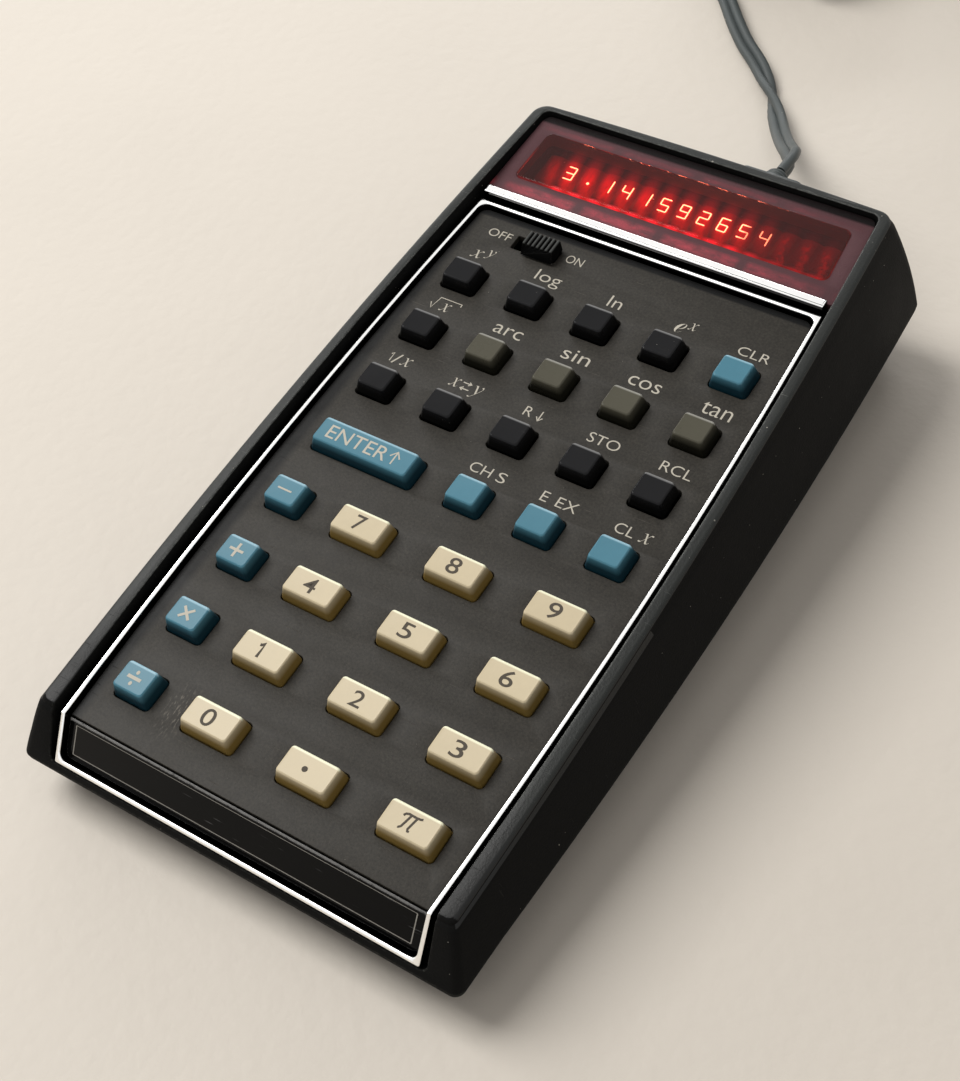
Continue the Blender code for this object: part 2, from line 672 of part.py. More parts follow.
def make_top_case(plane):
    rings = [case_ring(share) for share in (1, 0.86, 0.68, 0.48, 0.3, 0.15, 0.05)]
    rings.append(case_ring(0, 0.25 * RIM_ROUNDING, 0.55 * RIM_ROUNDING))
    rings.append(case_ring(0, RIM_ROUNDING))
    case = new_part("top_case", loft("top_case", rings), "case_black")
    cavity = loft("case_cavity", [
        cavity_ring(1, CAVITY_LEAN, 0, lambda y: parting_height(y) - WALL),
        cavity_ring(0.8, 1.25 * CAVITY_LEAN, 0.3 * REAR_RUN,
                    lambda y: mix(parting_height(y), plane_height(y, ROOF), 0.5)),
        cavity_ring(0.3, 1.5 * CAVITY_LEAN, 0.6 * REAR_RUN, lambda y: plane_height(y, ROOF)),
    ])
    keys_rear = SWITCH_FROM_FIRST_ROW + SWITCH_KNOB[1]
    keyboard_opening = box(
        "keyboard_opening",
        (2 * OPENING_HALF_WIDTH, keys_rear - KEYS_FRONT + 2 * SEAT_GAP, 8 * MM),
        (0, (keys_rear + KEYS_FRONT) / 2, LEDGE),
    )
    display_opening = box(
        "display_opening",
        (LENS_LENGTH + 2 * SEAT_GAP, 2 * LENS_WIDTH, 8 * MM),
        (DIGIT_MIDDLE_X, DIGITS_FROM_FIRST_ROW + LENS_WIDTH / 2 + SEAT_GAP - LENS_WIDTH, LEDGE),
    )
    socket_hole = box(
        "socket_hole",
        (SOCKET_SIZE[0] + 2 * SEAT_GAP, SOCKET_HOLE_DEPTH, SOCKET_SIZE[2] + 2 * SEAT_GAP),
        (SOCKET_X, SOCKET_REAR_Y, SOCKET_HEIGHT),
    )
    posts = cylinders(
        "board_posts", board_posts(), POST_RADIUS, BOARD_TOP + SEAT_GAP, ROOF + 0.5 * MM
    )
    combine(case, [new_tool("case_cavity", cavity), recess_tool(plane)])
    combine(case, [new_tool("keyboard_opening", keyboard_opening, plane),
                   new_tool("display_opening", display_opening, plane),
                   new_tool("socket_hole", socket_hole)])
    combine(case, [new_tool("board_posts", posts, plane)], "UNION")


def base_height(y, rise):
    """Height of the lower case's wall, from the floor at rise 0 to its edge at rise 1."""
    return mix(FLOOR_CLEARANCE, parting_height(y) - SEAT_GAP, rise)


def base_ring(inset, height):
    ring = bowed_outline(
        PARTING_SIDE, -CASE_LENGTH / 2 + inset, CASE_LENGTH / 2 - inset, PARTING_FRONT_CORNER_RADIUS,
        PARTING_CORNER_RADIUS, REAR_CROWN, inset,
    )
    return [(x, y, height(y)) for x, y in ring]


def feet_places():
    y = -CASE_LENGTH / 2 + FOOT_FROM_FRONT
    return {"left": (-FOOT_X, y), "right": (FOOT_X, y)}


def make_bottom_case(plane):
    rings = [
        base_ring(BASE_RUN * inset, lambda y: base_height(y, rise))
        for inset, rise in ((1, 0), (0.72, 0.12), (0.34, 0.5), (0.02, 1))
    ]
    base = new_part("bottom_case", loft("bottom_case", rings), "case_black")
    hollow = loft("base_hollow", [
        base_ring(BASE_RUN + WALL * 0.5, lambda y: BASE_TOP),
        base_ring(BASE_RUN * 0.5 + WALL, lambda y: base_height(y, 0.5)),
        base_ring(WALL, lambda y: parting_height(y) + WALL),
    ])
    door_hole = box(
        "door_hole",
        (2 * (DOOR_HALF_WIDTH + SEAT_GAP), DOOR_REAR_Y - DOOR_FRONT_Y + 2 * SEAT_GAP, 6 * MM),
        (0, (DOOR_REAR_Y + DOOR_FRONT_Y) / 2, FLOOR_CLEARANCE),
    )
    notches = box(
        "latch_notches",
        (2 * (DOOR_HALF_WIDTH + LATCH_TONGUE_REACH + 2 * SEAT_GAP),
         LATCH_NECK[1] + 2 * SEAT_GAP, 6 * MM),
        (0, LATCH_Y, FLOOR_CLEARANCE),
    )
    recesses = cylinders(
        "foot_recesses", feet_places().values(), FOOT_RADIUS + SEAT_GAP,
        FLOOR_CLEARANCE - MM, FLOOR_CLEARANCE + FOOT_RECESS, sides=20,
    )
    board_bottom = -LOGIC_BOARD_DEPTH - BOARD_THICKNESS
    rows = (KEYS_FRONT + 3 * POST_RADIUS, LOGIC_BOARD_REAR_FROM_FIRST_ROW - 3 * POST_RADIUS)
    combine(base, [new_tool("base_hollow", hollow), new_tool("door_hole", door_hole),
                   new_tool("latch_notches", notches), new_tool("foot_recesses", recesses)])
    for i, y in enumerate(rows):
        floor = in_plane(PLANE_Y + y, BASE_TOP - BASE_THICKNESS / 2)[1]
        pillars = cylinders(
            f"board_pillars_{i}", [(x * FOOT_X, y) for x in (-1, 1)], 1.6 * POST_RADIUS,
            floor, board_bottom - SEAT_GAP,
        )
        combine(base, [new_tool(f"board_pillars_{i}", pillars, plane)], "UNION")


# Keyboard


def make_key(name, x, y, widths, finish, plane):
    """One moulded key: a tapered cap, its neck through the plate and the flange that keeps it in."""
    top_width, hole_width = widths
    neck = (hole_width - 2 * KEY_HOLE_GAP, KEY_HOLE[1] - 2 * KEY_HOLE_GAP)
    flange = (hole_width + 2 * KEY_FLANGE, KEY_HOLE[1] + 2 * KEY_FLANGE)
    shoulder = (top_width + KEY_EDGE, KEY_TOP[1] + KEY_EDGE)
    sections = [
        (flange, FLANGE_BOTTOM),
        (flange, FLANGE_TOP),
        (neck, FLANGE_TOP),
        (neck, KEY_EDGE),
        (shoulder, KEY_HEIGHT - KEY_EDGE),
        ((top_width, KEY_TOP[1]), KEY_HEIGHT),
    ]
    rings = [
        [(a, b, height) for a, b in rectangle(*size, corner=KEY_EDGE)] for size, height in sections
    ]
    new_part("key_" + name, loft("key_" + name, rings), finish, plane, (x, y, 0))


def make_key_plate(plane):
    front = FOLD + (FRAME_TOP - FRAME_TOP * cos(radians(FRONT_FALL))) / sin(radians(FRONT_FALL))
    outline = bowed_outline(
        recess_side(PLATE_INSET), front + SEAT_GAP / 2,
        FRAME_REAR_FROM_FIRST_ROW - FRAME_WIDTH - SEAT_GAP, 0, FRAME_CORNER_RADIUS,
    )
    holes = [
        rectangle(widths[1], KEY_HOLE[1], (x, y)) for _, x, y, widths, _ in all_keys()
    ]
    slot_length = SWITCH_KNOB[0] + SWITCH_TRAVEL
    slot_centre = (SWITCH_X - SWITCH_TRAVEL / 2, SWITCH_FROM_FIRST_ROW)
    holes.append(rectangle(slot_length, SWITCH_SLOT_WIDTH, slot_centre))
    plate = flat_solid("key_plate", [outline, *holes], -PLATE_THICKNESS, 0)
    new_part("key_plate", plate, "plate_grey", plane)


def make_front_plate(plane):
    """Plain plate on the front slope, whose upper end is mitred to the key plate."""
    gap = FRAME_WIDTH + SEAT_GAP
    outline = bowed_outline(
        recess_side(PLATE_INSET), FOLD - FRONT_LENGTH + gap, FOLD, FRAME_FOOT_RADIUS, 0
    )
    mesh = flat_solid("front_plate", [outline], 0, FRONT_PLATE_THICKNESS)
    meeting = FOLD + FRAME_TOP * (1 - cos(radians(FRONT_FALL))) / sin(radians(FRONT_FALL))
    for vertex in mesh.vertices:
        below = FRAME_TOP + FRONT_PLATE_THICKNESS - vertex.co.z
        along = FOLD - vertex.co.y
        if along < SEAT_GAP / 2:
            shown = meeting - SEAT_GAP / 2 - FOLD
            along = (below * sin(radians(FRONT_FALL)) - shown) / cos(radians(FRONT_FALL))
        vertex.co.y, vertex.co.z = front_point(below, along)
    new_part("front_plate", mesh, "plate_grey", plane)


def make_key_frame(plane):
    """Bright bead round the key plate, folded down over the front slope."""
    outer = bowed_outline(
        recess_side(FRAME_INSET), FOLD - FRONT_LENGTH, FRAME_REAR_FROM_FIRST_ROW,
        FRAME_OUTER_RADIUS, FRAME_OUTER_RADIUS,
    )
    inner = bowed_outline(
        recess_side(FRAME_INSET + FRAME_WIDTH), FOLD - FRONT_LENGTH + FRAME_WIDTH,
        FRAME_REAR_FROM_FIRST_ROW - FRAME_WIDTH, FRAME_FOOT_RADIUS, FRAME_CORNER_RADIUS,
    )
    mesh = flat_solid("key_frame", [outer, inner], -PLATE_THICKNESS, FRAME_TOP)
    front_rise = PLATE_THICKNESS - FRONT_PLATE_THICKNESS
    new_part("key_frame", fold_over_front(mesh, front_rise), "chrome", plane)


def make_power_switch(plane):
    """Ridged sliding knob, at rest at the ON end of its slot."""
    width, depth, height = SWITCH_KNOB
    low, high = SEAT_GAP, SEAT_GAP + height
    step = width / SWITCH_RIDGES
    profile = [(-width / 2, low), (width / 2, low)]
    for i in reversed(range(SWITCH_RIDGES)):
        start = -width / 2 + i * step
        profile += [(start + 0.75 * step, high), (start + 0.25 * step, high)]
        if i:
            profile.append((start, high - SWITCH_RIDGE_HEIGHT))
    knob = flat_solid("power_switch", [profile], -depth / 2, depth / 2)
    knob.transform(Matrix(((1, 0, 0, 0), (0, 0, -1, 0), (0, 1, 0, 0), (0, 0, 0, 1))))
    for vertex in knob.vertices:
        if vertex.co.y < 0 and vertex.co.z < low + MM:
            vertex.co.y -= SWITCH_SLOPE
    part = new_part(
        "power_switch", knob, "key_black", plane, (SWITCH_X, SWITCH_FROM_FIRST_ROW, 0)
    )
    neck = box(
        "switch_neck",
        (width - 2 * SEAT_GAP, SWITCH_SLOT_WIDTH - 2 * SEAT_GAP, 2 * PLATE_THICKNESS + 2 * SEAT_GAP),
        (SWITCH_X, SWITCH_FROM_FIRST_ROW, -PLATE_THICKNESS / 2),
    )
    slider = box(
        "switch_slider",
        (width + 4 * KEY_FLANGE, SWITCH_SLOT_WIDTH + 2 * KEY_FLANGE, KEY_FLANGE_THICKNESS),
        (SWITCH_X, SWITCH_FROM_FIRST_ROW, (FLANGE_TOP + FLANGE_BOTTOM) / 2),
    )
    combine(part, [new_tool("switch_neck", neck, plane),
                   new_tool("switch_slider", slider, plane)], "UNION")


def make_contact_sheet(plane):
    """Spring sheet under the keys, with a hump along each row."""
    humps = SHEET_BOTTOM + SHEET_BASE_THICKNESS
    rear = KEY_PITCH / 2
    profile = [(rear, SHEET_BOTTOM), (rear, humps)]
    for row in range(KEY_ROWS):
        y = -row * KEY_PITCH
        half = SHEET_HUMP_WIDTH / 2
        profile += [(y + half, humps), (y + half / 2, SHEET_TOP), (y - half / 2, SHEET_TOP),
                    (y - half, humps)]
    profile += [(KEYS_FRONT, humps), (KEYS_FRONT, SHEET_BOTTOM)]
    half_width = KEYS_HALF_WIDTH
    sheet = side_solid("contact_sheet", list(reversed(profile)), -half_width, half_width)
    new_part("contact_sheet", sheet, "contact_metal", plane)


# Boards


def make_keyboard_board(plane):
    front = KEYS_FRONT - SEAT_GAP
    size = (2 * KEYBOARD_BOARD_HALF_WIDTH, KEYBOARD_BOARD_REAR - front, BOARD_THICKNESS)
    centre = (0, (KEYBOARD_BOARD_REAR + front) / 2, BOARD_TOP - BOARD_THICKNESS / 2)
    new_part("keyboard_board", box("keyboard_board", size, centre), "board_green", plane)


def make_logic_board(plane):
    """Board with the row of chips, under the keyboard board."""
    front = KEYS_FRONT + POST_RADIUS
    rear = LOGIC_BOARD_REAR_FROM_FIRST_ROW
    top = -LOGIC_BOARD_DEPTH
    size = (2 * LOGIC_BOARD_HALF_WIDTH, rear - front, BOARD_THICKNESS)
    centre = (0, (rear + front) / 2, top - BOARD_THICKNESS / 2)
    board = new_part("logic_board", box("logic_board", size, centre), "board_green", plane)
    for i in range(CHIP_COUNT):
        y = mix(front, rear, (i + 0.5) / CHIP_COUNT)
        overlap = CHIP_SIZE[2] / 2
        chip = box(f"chip_{i}", (*CHIP_SIZE[:2], CHIP_SIZE[2] + overlap),
                   (0, y, top + CHIP_SIZE[2] / 2 - overlap / 2))
        combine(board, [new_tool(f"chip_{i}", chip, plane)], "UNION")


def make_display(plane):
    """Board with the digits, and the row of small magnifying lenses over them."""
    rear = WINDOW_FRONT + DISPLAY_BOARD_LENGTH
    lens_bottom = -DIGIT_DEPTH - LENS_THICKNESS
    top = lens_bottom - SEAT_GAP
    size = (2 * DISPLAY_BOARD_HALF_WIDTH, DISPLAY_BOARD_LENGTH, BOARD_THICKNESS)
    centre = (0, rear - DISPLAY_BOARD_LENGTH / 2, top - BOARD_THICKNESS / 2)
    new_part("display_board", box("display_board", size, centre), "board_green", plane)

    half = LENS_LENGTH / 2
    profile = [(-half, lens_bottom), (half, lens_bottom)]
    for i in reversed(range(DIGIT_COUNT)):
        middle = -half + (i + 0.5) * DIGIT_PITCH
        for share in (0.5, 0.3, 0, -0.3, -0.5):
            if share == -0.5 and i:
                continue
            bulge = LENS_BULGE * sqrt(1 - (1.8 * share) ** 2)
            profile.append((middle + share * DIGIT_PITCH, -DIGIT_DEPTH + bulge - LENS_BULGE / 2))
    lens = flat_solid("display_lens", [profile], -LENS_WIDTH / 2, LENS_WIDTH / 2)
    lens.transform(Matrix(((1, 0, 0, 0), (0, 0, -1, 0), (0, 1, 0, 0), (0, 0, 0, 1))))
    new_part("display_lens", lens, "lens_clear", plane, (DIGIT_MIDDLE_X, DIGITS_FROM_FIRST_ROW, 0))


def window_height(y):
    """Level of the window's sloping face."""
    share = (y - WINDOW_FRONT) / (recess_rear() - WINDOW_FRONT)
    return mix(WINDOW_TOP_FRONT, WINDOW_TOP_REAR, share)


def make_window(plane):
    """Red window: a matte border that slopes up to the rear, round a raised polished panel."""
    outline = bowed_outline(
        recess_side(SEAT_GAP), WINDOW_FRONT, recess_rear() - SEAT_GAP, 0, RECESS_CORNER_RADIUS
    )
    mesh = flat_solid("display_window", [outline], -PLATE_THICKNESS, 0)
    front_width, rear_width, depth = WINDOW_PANEL
    low, r = WINDOW_FRONT + WINDOW_PANEL_FROM_FRONT, WINDOW_PANEL_CORNER
    right = arc((front_width / 2 - r, low + r), r, -90, 0, FRONT_STEPS)
    right += arc((rear_width / 2 - r, low + depth - r), r, 0, 90, FRONT_STEPS)
    panel_outline = right + [(-x, y) for x, y in reversed(right)]
    panel = flat_solid("window_panel", [panel_outline], -MM / 2, 0)
    for solid, rise in ((mesh, 0), (panel, WINDOW_PANEL_RISE)):
        for vertex in solid.vertices:
            if vertex.co.z > -MM / 4:
                vertex.co.z = window_height(vertex.co.y) + rise
    window = new_part("display_window", mesh, "window_red", plane)
    combine(window, [new_tool("window_panel", panel, plane)], "UNION")


def make_trim(plane):
    """Bright bar between the keyboard and the window."""
    size = (2 * TRIM_HALF_LENGTH, TRIM_WIDTH, TRIM_HEIGHT + PLATE_THICKNESS)
    centre = (0, TRIM_FRONT + TRIM_WIDTH / 2, (TRIM_HEIGHT - PLATE_THICKNESS) / 2)
    trim = new_part("display_trim", box("display_trim", size, centre), "chrome", plane)
    add_bevel(trim, 0.35 * MM)


# Battery, door and feet


def make_battery():
    """Three cells side by side in one wrap, resting on the door."""
    middle = CELL_HEIGHT
    bite = sqrt(CELL_RADIUS**2 - (CELL_WEB / 2) ** 2)
    turn = atan2(CELL_WEB / 2, bite) * 180 / pi
    lower, upper = [], []
    for i in range(CELL_COUNT):
        centre = (PACK_FRONT_Y + (2 * i + 1) * CELL_RADIUS, middle)
        first = 0 if i == 0 else turn
        last = 0 if i == CELL_COUNT - 1 else turn
        upper += arc(centre, CELL_RADIUS, 180 - first, last, 8)
        lower += arc(centre, CELL_RADIUS, 180 + first, 360 - last, 8)
    outline = lower + list(reversed(upper))[1:-1]
    pack = side_solid("battery_pack", outline, -CELL_LENGTH / 2, CELL_LENGTH / 2)
    shift_to(pack, HINGE_Y, HINGE_Z)
    new_part("battery_pack", pack, "battery_wrap", bpy.data.objects["door_hinge"])


def shift_to(mesh, y, z):
    mesh.transform(Matrix.Translation((0, -y, -z)))


def make_door():
    """Battery door: its rounded front edge is the hinge, and slots near its rear take the latches."""
    steps = arc((HINGE_Y, HINGE_Z), HINGE_RADIUS, 90, 270, 6)
    profile = [*steps, (DOOR_REAR_Y, FLOOR_CLEARANCE), (DOOR_REAR_Y, BASE_TOP)]
    mesh = side_solid("battery_door", profile, -DOOR_HALF_WIDTH, DOOR_HALF_WIDTH)
    shift_to(mesh, HINGE_Y, HINGE_Z)
    hinge = bpy.data.objects["door_hinge"]
    door = new_part("battery_door", mesh, "case_black", hinge)
    for side in (-1, 1):
        inner = LATCH_NECK_X - LATCH_TRAVEL - LATCH_NECK[0] / 2 - SEAT_GAP
        outer = DOOR_HALF_WIDTH + MM
        slot = box(
            f"latch_slot_{side}",
            (outer - inner, LATCH_NECK[1] + 2 * SEAT_GAP, 6 * MM),
            (side * (inner + outer) / 2, LATCH_Y - HINGE_Y, 0),
        )
        combine(door, [new_tool(f"latch_slot_{side}", slot, hinge)])


def make_latch(name, side):
    """Rear foot that slides inwards: a pad on the floor, a neck through the door and a tongue."""
    pad_height = FLOOR_CLEARANCE - SEAT_GAP
    neck_top = BASE_TOP + SEAT_GAP + LATCH_TONGUE_THICKNESS
    outer = LATCH_NECK_X + LATCH_NECK[0] / 2
    hinge = bpy.data.objects["door_hinge"]

    def local(x, y, z):
        return (x, y - HINGE_Y, z - HINGE_Z)

    pad = box(
        name, (LATCH_PAD[0], LATCH_PAD[1], pad_height),
        local(side * (outer - LATCH_PAD[0] / 2), LATCH_Y + LATCH_PAD[1] / 2 - LATCH_NECK[1],
              pad_height / 2),
    )
    latch = new_part(name, pad, "foot_rubber", hinge)
    neck = box(
        name + "_neck", (*LATCH_NECK, neck_top - pad_height / 2),
        local(side * LATCH_NECK_X, LATCH_Y, (neck_top + pad_height / 2) / 2),
    )
    reach = DOOR_HALF_WIDTH + LATCH_TONGUE_REACH
    start = LATCH_NECK_X - LATCH_NECK[0] / 2 - 0.2 * MM
    tongue = box(
        name + "_tongue", (reach - start, LATCH_NECK[1] - 0.2 * MM, LATCH_TONGUE_THICKNESS),
        local(side * (reach + start) / 2, LATCH_Y, neck_top - LATCH_TONGUE_THICKNESS / 2),
    )
    combine(latch, [new_tool(name + "_neck", neck, hinge),
                    new_tool(name + "_tongue", tongue, hinge)], "UNION")


def make_front_feet():
    top = FLOOR_CLEARANCE + FOOT_RECESS - SEAT_GAP
    for side, place in feet_places().items():
        mesh = cylinders("front_foot_" + side, [place], FOOT_RADIUS - 0.4 * MM, 0, top,
                         top_radius=FOOT_RADIUS, sides=20)
        new_part("front_foot_" + side, mesh, "foot_rubber")


# Charger


def contact_places():
    return [(SOCKET_X + i * CONTACT_PITCH, SOCKET_HEIGHT) for i in (-1, 0, 1)]


def along_y(mesh):
    """Turns a mesh drawn upright over (x, z) places so that it points along Y."""
    mesh.transform(Matrix(((1, 0, 0, 0), (0, 0, 1, 0), (0, 1, 0, 0), (0, 0, 0, 1))))
    mesh.flip_normals()
    return mesh


def make_socket():
    """Charger socket in the rear wall, with its three contact pins."""
    width, depth, height = SOCKET_SIZE
    middle = SOCKET_REAR_Y - depth / 2
    socket = new_part(
        "charger_socket", box("charger_socket", SOCKET_SIZE, (SOCKET_X, middle, SOCKET_HEIGHT)),
        "case_black",
    )
    floor = SOCKET_REAR_Y - depth + SOCKET_BACK
    mouth = box(
        "socket_mouth", (SOCKET_MOUTH[0], depth, SOCKET_MOUTH[1]),
        (SOCKET_X, floor + depth / 2, SOCKET_HEIGHT),
    )
    pins = along_y(cylinders(
        "socket_pins", contact_places(), CONTACT_RADIUS, floor - SOCKET_BACK / 2,
        floor + CONTACT_LENGTH, sides=8,
    ))
    combine(socket, [new_tool("socket_mouth", mouth)])
    combine(socket, [new_tool("socket_pins", pins)], "UNION")


def make_plug():
    """Flat plug: a nose that fills the socket's mouth, a low grip and the lead's neck."""
    x, z = SOCKET_X, SOCKET_HEIGHT
    grip = new_part(
        "charger_plug",
        box("charger_plug", PLUG_GRIP, (x, PLUG_GRIP_FRONT_Y + PLUG_GRIP[1] / 2, z)),
        "cord_grey",
    )
    add_bevel(grip, 0.8 * MM)
    nose_front = SOCKET_REAR_Y - SOCKET_SIZE[1] + SOCKET_BACK + SEAT_GAP
    nose_rear = PLUG_GRIP_FRONT_Y + MM
    nose = box(
        "plug_nose",
        (SOCKET_MOUTH[0] - 2 * SEAT_GAP, nose_rear - nose_front, SOCKET_MOUTH[1] - 2 * SEAT_GAP),
        (x, (nose_front + nose_rear) / 2, z),
    )
    neck = along_y(cylinders(
        "plug_neck", [(x, z)], PLUG_NECK_RADIUS, PLUG_GRIP_REAR_Y - MM,
        PLUG_GRIP_REAR_Y + PLUG_NECK_LENGTH, top_radius=CORD_DIAMETER / 2 + 0.2 * MM,
    ))
    holes = along_y(cylinders(
        "plug_holes", contact_places(), CONTACT_RADIUS + SEAT_GAP, nose_front - MM,
        nose_front + CONTACT_LENGTH + SEAT_GAP, sides=8,
    ))
    combine(grip, [new_tool("plug_nose", nose), new_tool("plug_neck", neck)], "UNION")
    combine(grip, [new_tool("plug_holes", holes)])


def smooth_line(points, step):
    """Points a step apart along a Catmull-Rom curve, which lead in and out straight at its ends."""
    fine = []
    for a, b, c, d in zip(points, points[1:], points[2:], points[3:]):
        for i in range(20):
            t = i / 20
            fine.append(0.5 * (2 * b + (c - a) * t + (2 * a - 5 * b + 4 * c - d) * t**2
                               + (3 * b - a - 3 * c + d) * t**3))
    fine.append(points[-2])
    lengths = [0.0]
    for a, b in zip(fine, fine[1:]):
        lengths.append(lengths[-1] + (b - a).length)
    count = ceil(lengths[-1] / step)
    line, k = [points[0]], 0
    for i in range(count + 1):
        wanted = lengths[-1] * i / count
        while k < len(fine) - 2 and lengths[k + 1] < wanted:
            k += 1
        share = (wanted - lengths[k]) / (lengths[k + 1] - lengths[k])
        line.append(fine[k].lerp(fine[k + 1], share))
    return [*line, points[-1]]


def line_length(line):
    return sum((b - a).length for a, b in zip(line, line[1:]))


def coil_turns():
    turned = (COIL_START_ANGLE - COIL_END_ANGLE) / 360
    return COIL_LOOPS + turned


def coil_middle_radius():
    """Radius at the middle of the turns that uses up the lead's length."""
    free = line_length(cord_line(COIL_TRIAL_RADIUS + coil_half_band()))
    left = CORD_LENGTH - free - (BLOCK_FROM_COIL - BLOCK_RELIEF_LENGTH)
    return left / (2 * pi * coil_turns())


def coil_half_band():
    """Half the width of the band of turns in one layer."""
    return coil_turns() / COIL_LAYERS * COIL_PITCH / 2


def coil_point(angle, radius, height):
    x, y = COIL_CENTRE
    return Vector((x + radius * cos(radians(angle)), y + radius * sin(radians(angle)), height))


def coil_start(radius):
    return coil_point(COIL_START_ANGLE, radius, CORD_FLOOR)


def cord_line(radius):
    """The free stretch from the plug to a coil that starts at the given radius."""
    route = [Vector(point) * MM for point in CORD_ROUTE]
    straight = CORD_START + Vector((0, CORD_DIAMETER, 0))
    heading = radians(COIL_START_ANGLE)
    tangent = Vector((sin(heading), -cos(heading), 0))
    end = coil_start(radius) - tangent * (CORD_DIAMETER + SEAT_GAP)
    run_in = end - tangent * CORD_DIAMETER
    return smooth_line([CORD_START, straight, *route, run_in, end], CORD_STEP)


def coil_line():
    """The put-away length: layers that spiral in and out, climbing where the spiral turns back."""
    middle, band = coil_middle_radius(), coil_half_band()
    total = coil_turns() * 360
    layer = total / COIL_LAYERS
    count = round(coil_turns() * COIL_POINTS_PER_TURN)
    line = []
    for i in range(count + 1):
        turned = total * i / count
        number = min(int(turned / layer), COIL_LAYERS - 1)
        within = turned / layer - number
        share = 1 - 2 * within if number % 2 == 0 else 2 * within - 1
        climb = 0.0
        for reversal in range(1, COIL_LAYERS):
            past = (turned - reversal * layer) / 180 + 0.5
            climb += min(max(past, 0.0), 1.0)
        height = CORD_FLOOR + climb * COIL_PITCH
        line.append(coil_point(COIL_START_ANGLE - turned, middle + share * band, height))
    first, last = radians(COIL_START_ANGLE), radians(COIL_END_ANGLE)
    start = line[0] - Vector((sin(first), -cos(first), 0)) * CORD_DIAMETER
    end = line[-1] + Vector((sin(last), -cos(last), 0)) * (BLOCK_FROM_COIL - BLOCK_RELIEF_LENGTH)
    return [start, *line, end]


def least_gap(line):
    """Least clear distance between turns, measured on points of the centreline."""
    fine, turn = [], round(COIL_POINTS_PER_TURN)
    for a, b in zip(line, line[1:]):
        fine += [a.lerp(b, k / 3) for k in range(3)]
    nearest = min(
        (p - q).length
        for i, p in enumerate(fine)
        for q in fine[i + turn : i + 8 * 3 * turn]
    )
    return nearest - CORD_DIAMETER


def make_tube(name, line, sides_level):
    curve = bpy.data.curves.new(name, "CURVE")
    curve.dimensions = "3D"
    curve.bevel_depth = CORD_DIAMETER / 2
    curve.bevel_resolution = sides_level
    curve.use_fill_caps = True
    spline = curve.splines.new("POLY")
    spline.points.add(len(line) - 1)
    for point, place in zip(spline.points, line):
        point.co = (*place, 1)
    tube = bpy.data.objects.new(name, curve)
    bpy.data.collections["calculator"].objects.link(tube)
    curve.materials.append(finish_material("cord_grey"))


def make_lead():
    free = cord_line(coil_middle_radius() + coil_half_band())
    coil = coil_line()
    make_tube("cord", free, 2)
    make_tube("cord_coil", coil, 1)
    length = line_length(free) + line_length(coil)
    print(f"lead {length:.3f} m, least gap between turns {least_gap(coil) / MM:.2f} mm")


def make_block():
    """Charger block lying on its back, with its two mains pins up."""
    width, depth, height = BLOCK_SIZE
    end = coil_line()[-1]
    face = end.x + SEAT_GAP + BLOCK_RELIEF_LENGTH
    centre = (face + width / 2, end.y, height / 2)
    block = new_part(
        "charger_block", box("charger_block", BLOCK_SIZE, centre), "cord_grey"
    )
    add_bevel(block, BLOCK_ROUNDING)
    relief = cylinders("block_relief", [(0, 0)], BLOCK_RELIEF_RADIUS[0], 0,
                       BLOCK_RELIEF_LENGTH + MM, top_radius=BLOCK_RELIEF_RADIUS[1])
    relief.transform(Matrix(((0, 0, -1, face + MM), (0, 1, 0, end.y), (1, 0, 0, end.z),
                             (0, 0, 0, 1))))
    base_width, base_depth, base_height = PIN_BASE
    seat = box(
        "pin_seat", (base_width + 2 * SEAT_GAP, base_depth + 2 * SEAT_GAP, 2 * base_height),
        (centre[0], centre[1], height - SEAT_GAP),
    )
    combine(block, [new_tool("block_relief", relief)], "UNION")
    combine(block, [new_tool("pin_seat", seat)])
    base = box("charger_pins", PIN_BASE, (centre[0], centre[1], height - base_height / 2))
    pins = new_part("charger_pins", base, "pin_metal")
    for side in (-1, 1):
        blade = box(
            f"pin_{side}", (PIN_SIZE[0], PIN_SIZE[1], PIN_SIZE[2] + MM),
            (centre[0] + side * PIN_SPACING / 2, centre[1], height + (PIN_SIZE[2] - MM) / 2),
        )
        combine(pins, [new_tool(f"pin_{side}", blade)], "UNION")


def main():
    clear_scene()
    new_collection("calculator")
    new_collection("cutters")
    plane = bpy.data.objects.new("keyboard_plane", None)
    plane.location = (0, PLANE_Y, PLANE_Z)
    plane.rotation_euler = (KEY_TILT, 0, 0)
    hinge = bpy.data.objects.new("door_hinge", None)
    hinge.location = (0, HINGE_Y, HINGE_Z)
    for empty in (plane, hinge):
        bpy.data.collections["calculator"].objects.link(empty)
    make_top_case(plane)
    make_bottom_case(plane)
    make_key_plate(plane)
    make_front_plate(plane)
    make_key_frame(plane)
    for name, x, y, widths, finish in all_keys():
        make_key(name, x, y, widths, finish, plane)
    make_power_switch(plane)
    make_contact_sheet(plane)
    make_keyboard_board(plane)
    make_logic_board(plane)
    make_display(plane)
    make_window(plane)
    make_trim(plane)
    make_door()
    make_battery()
    make_latch("latch_left", -1)
    make_latch("latch_right", 1)
    make_front_feet()
    make_socket()
    make_plug()
    make_lead()
    make_block()


main()
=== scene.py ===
"""Finished looks of a pocket calculator with a red digit display, its lead and its charger.

Everything is in metres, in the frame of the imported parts, and each piece stands round the part that
it is named for. The file is laid out as an add-on and is run as a script.
"""

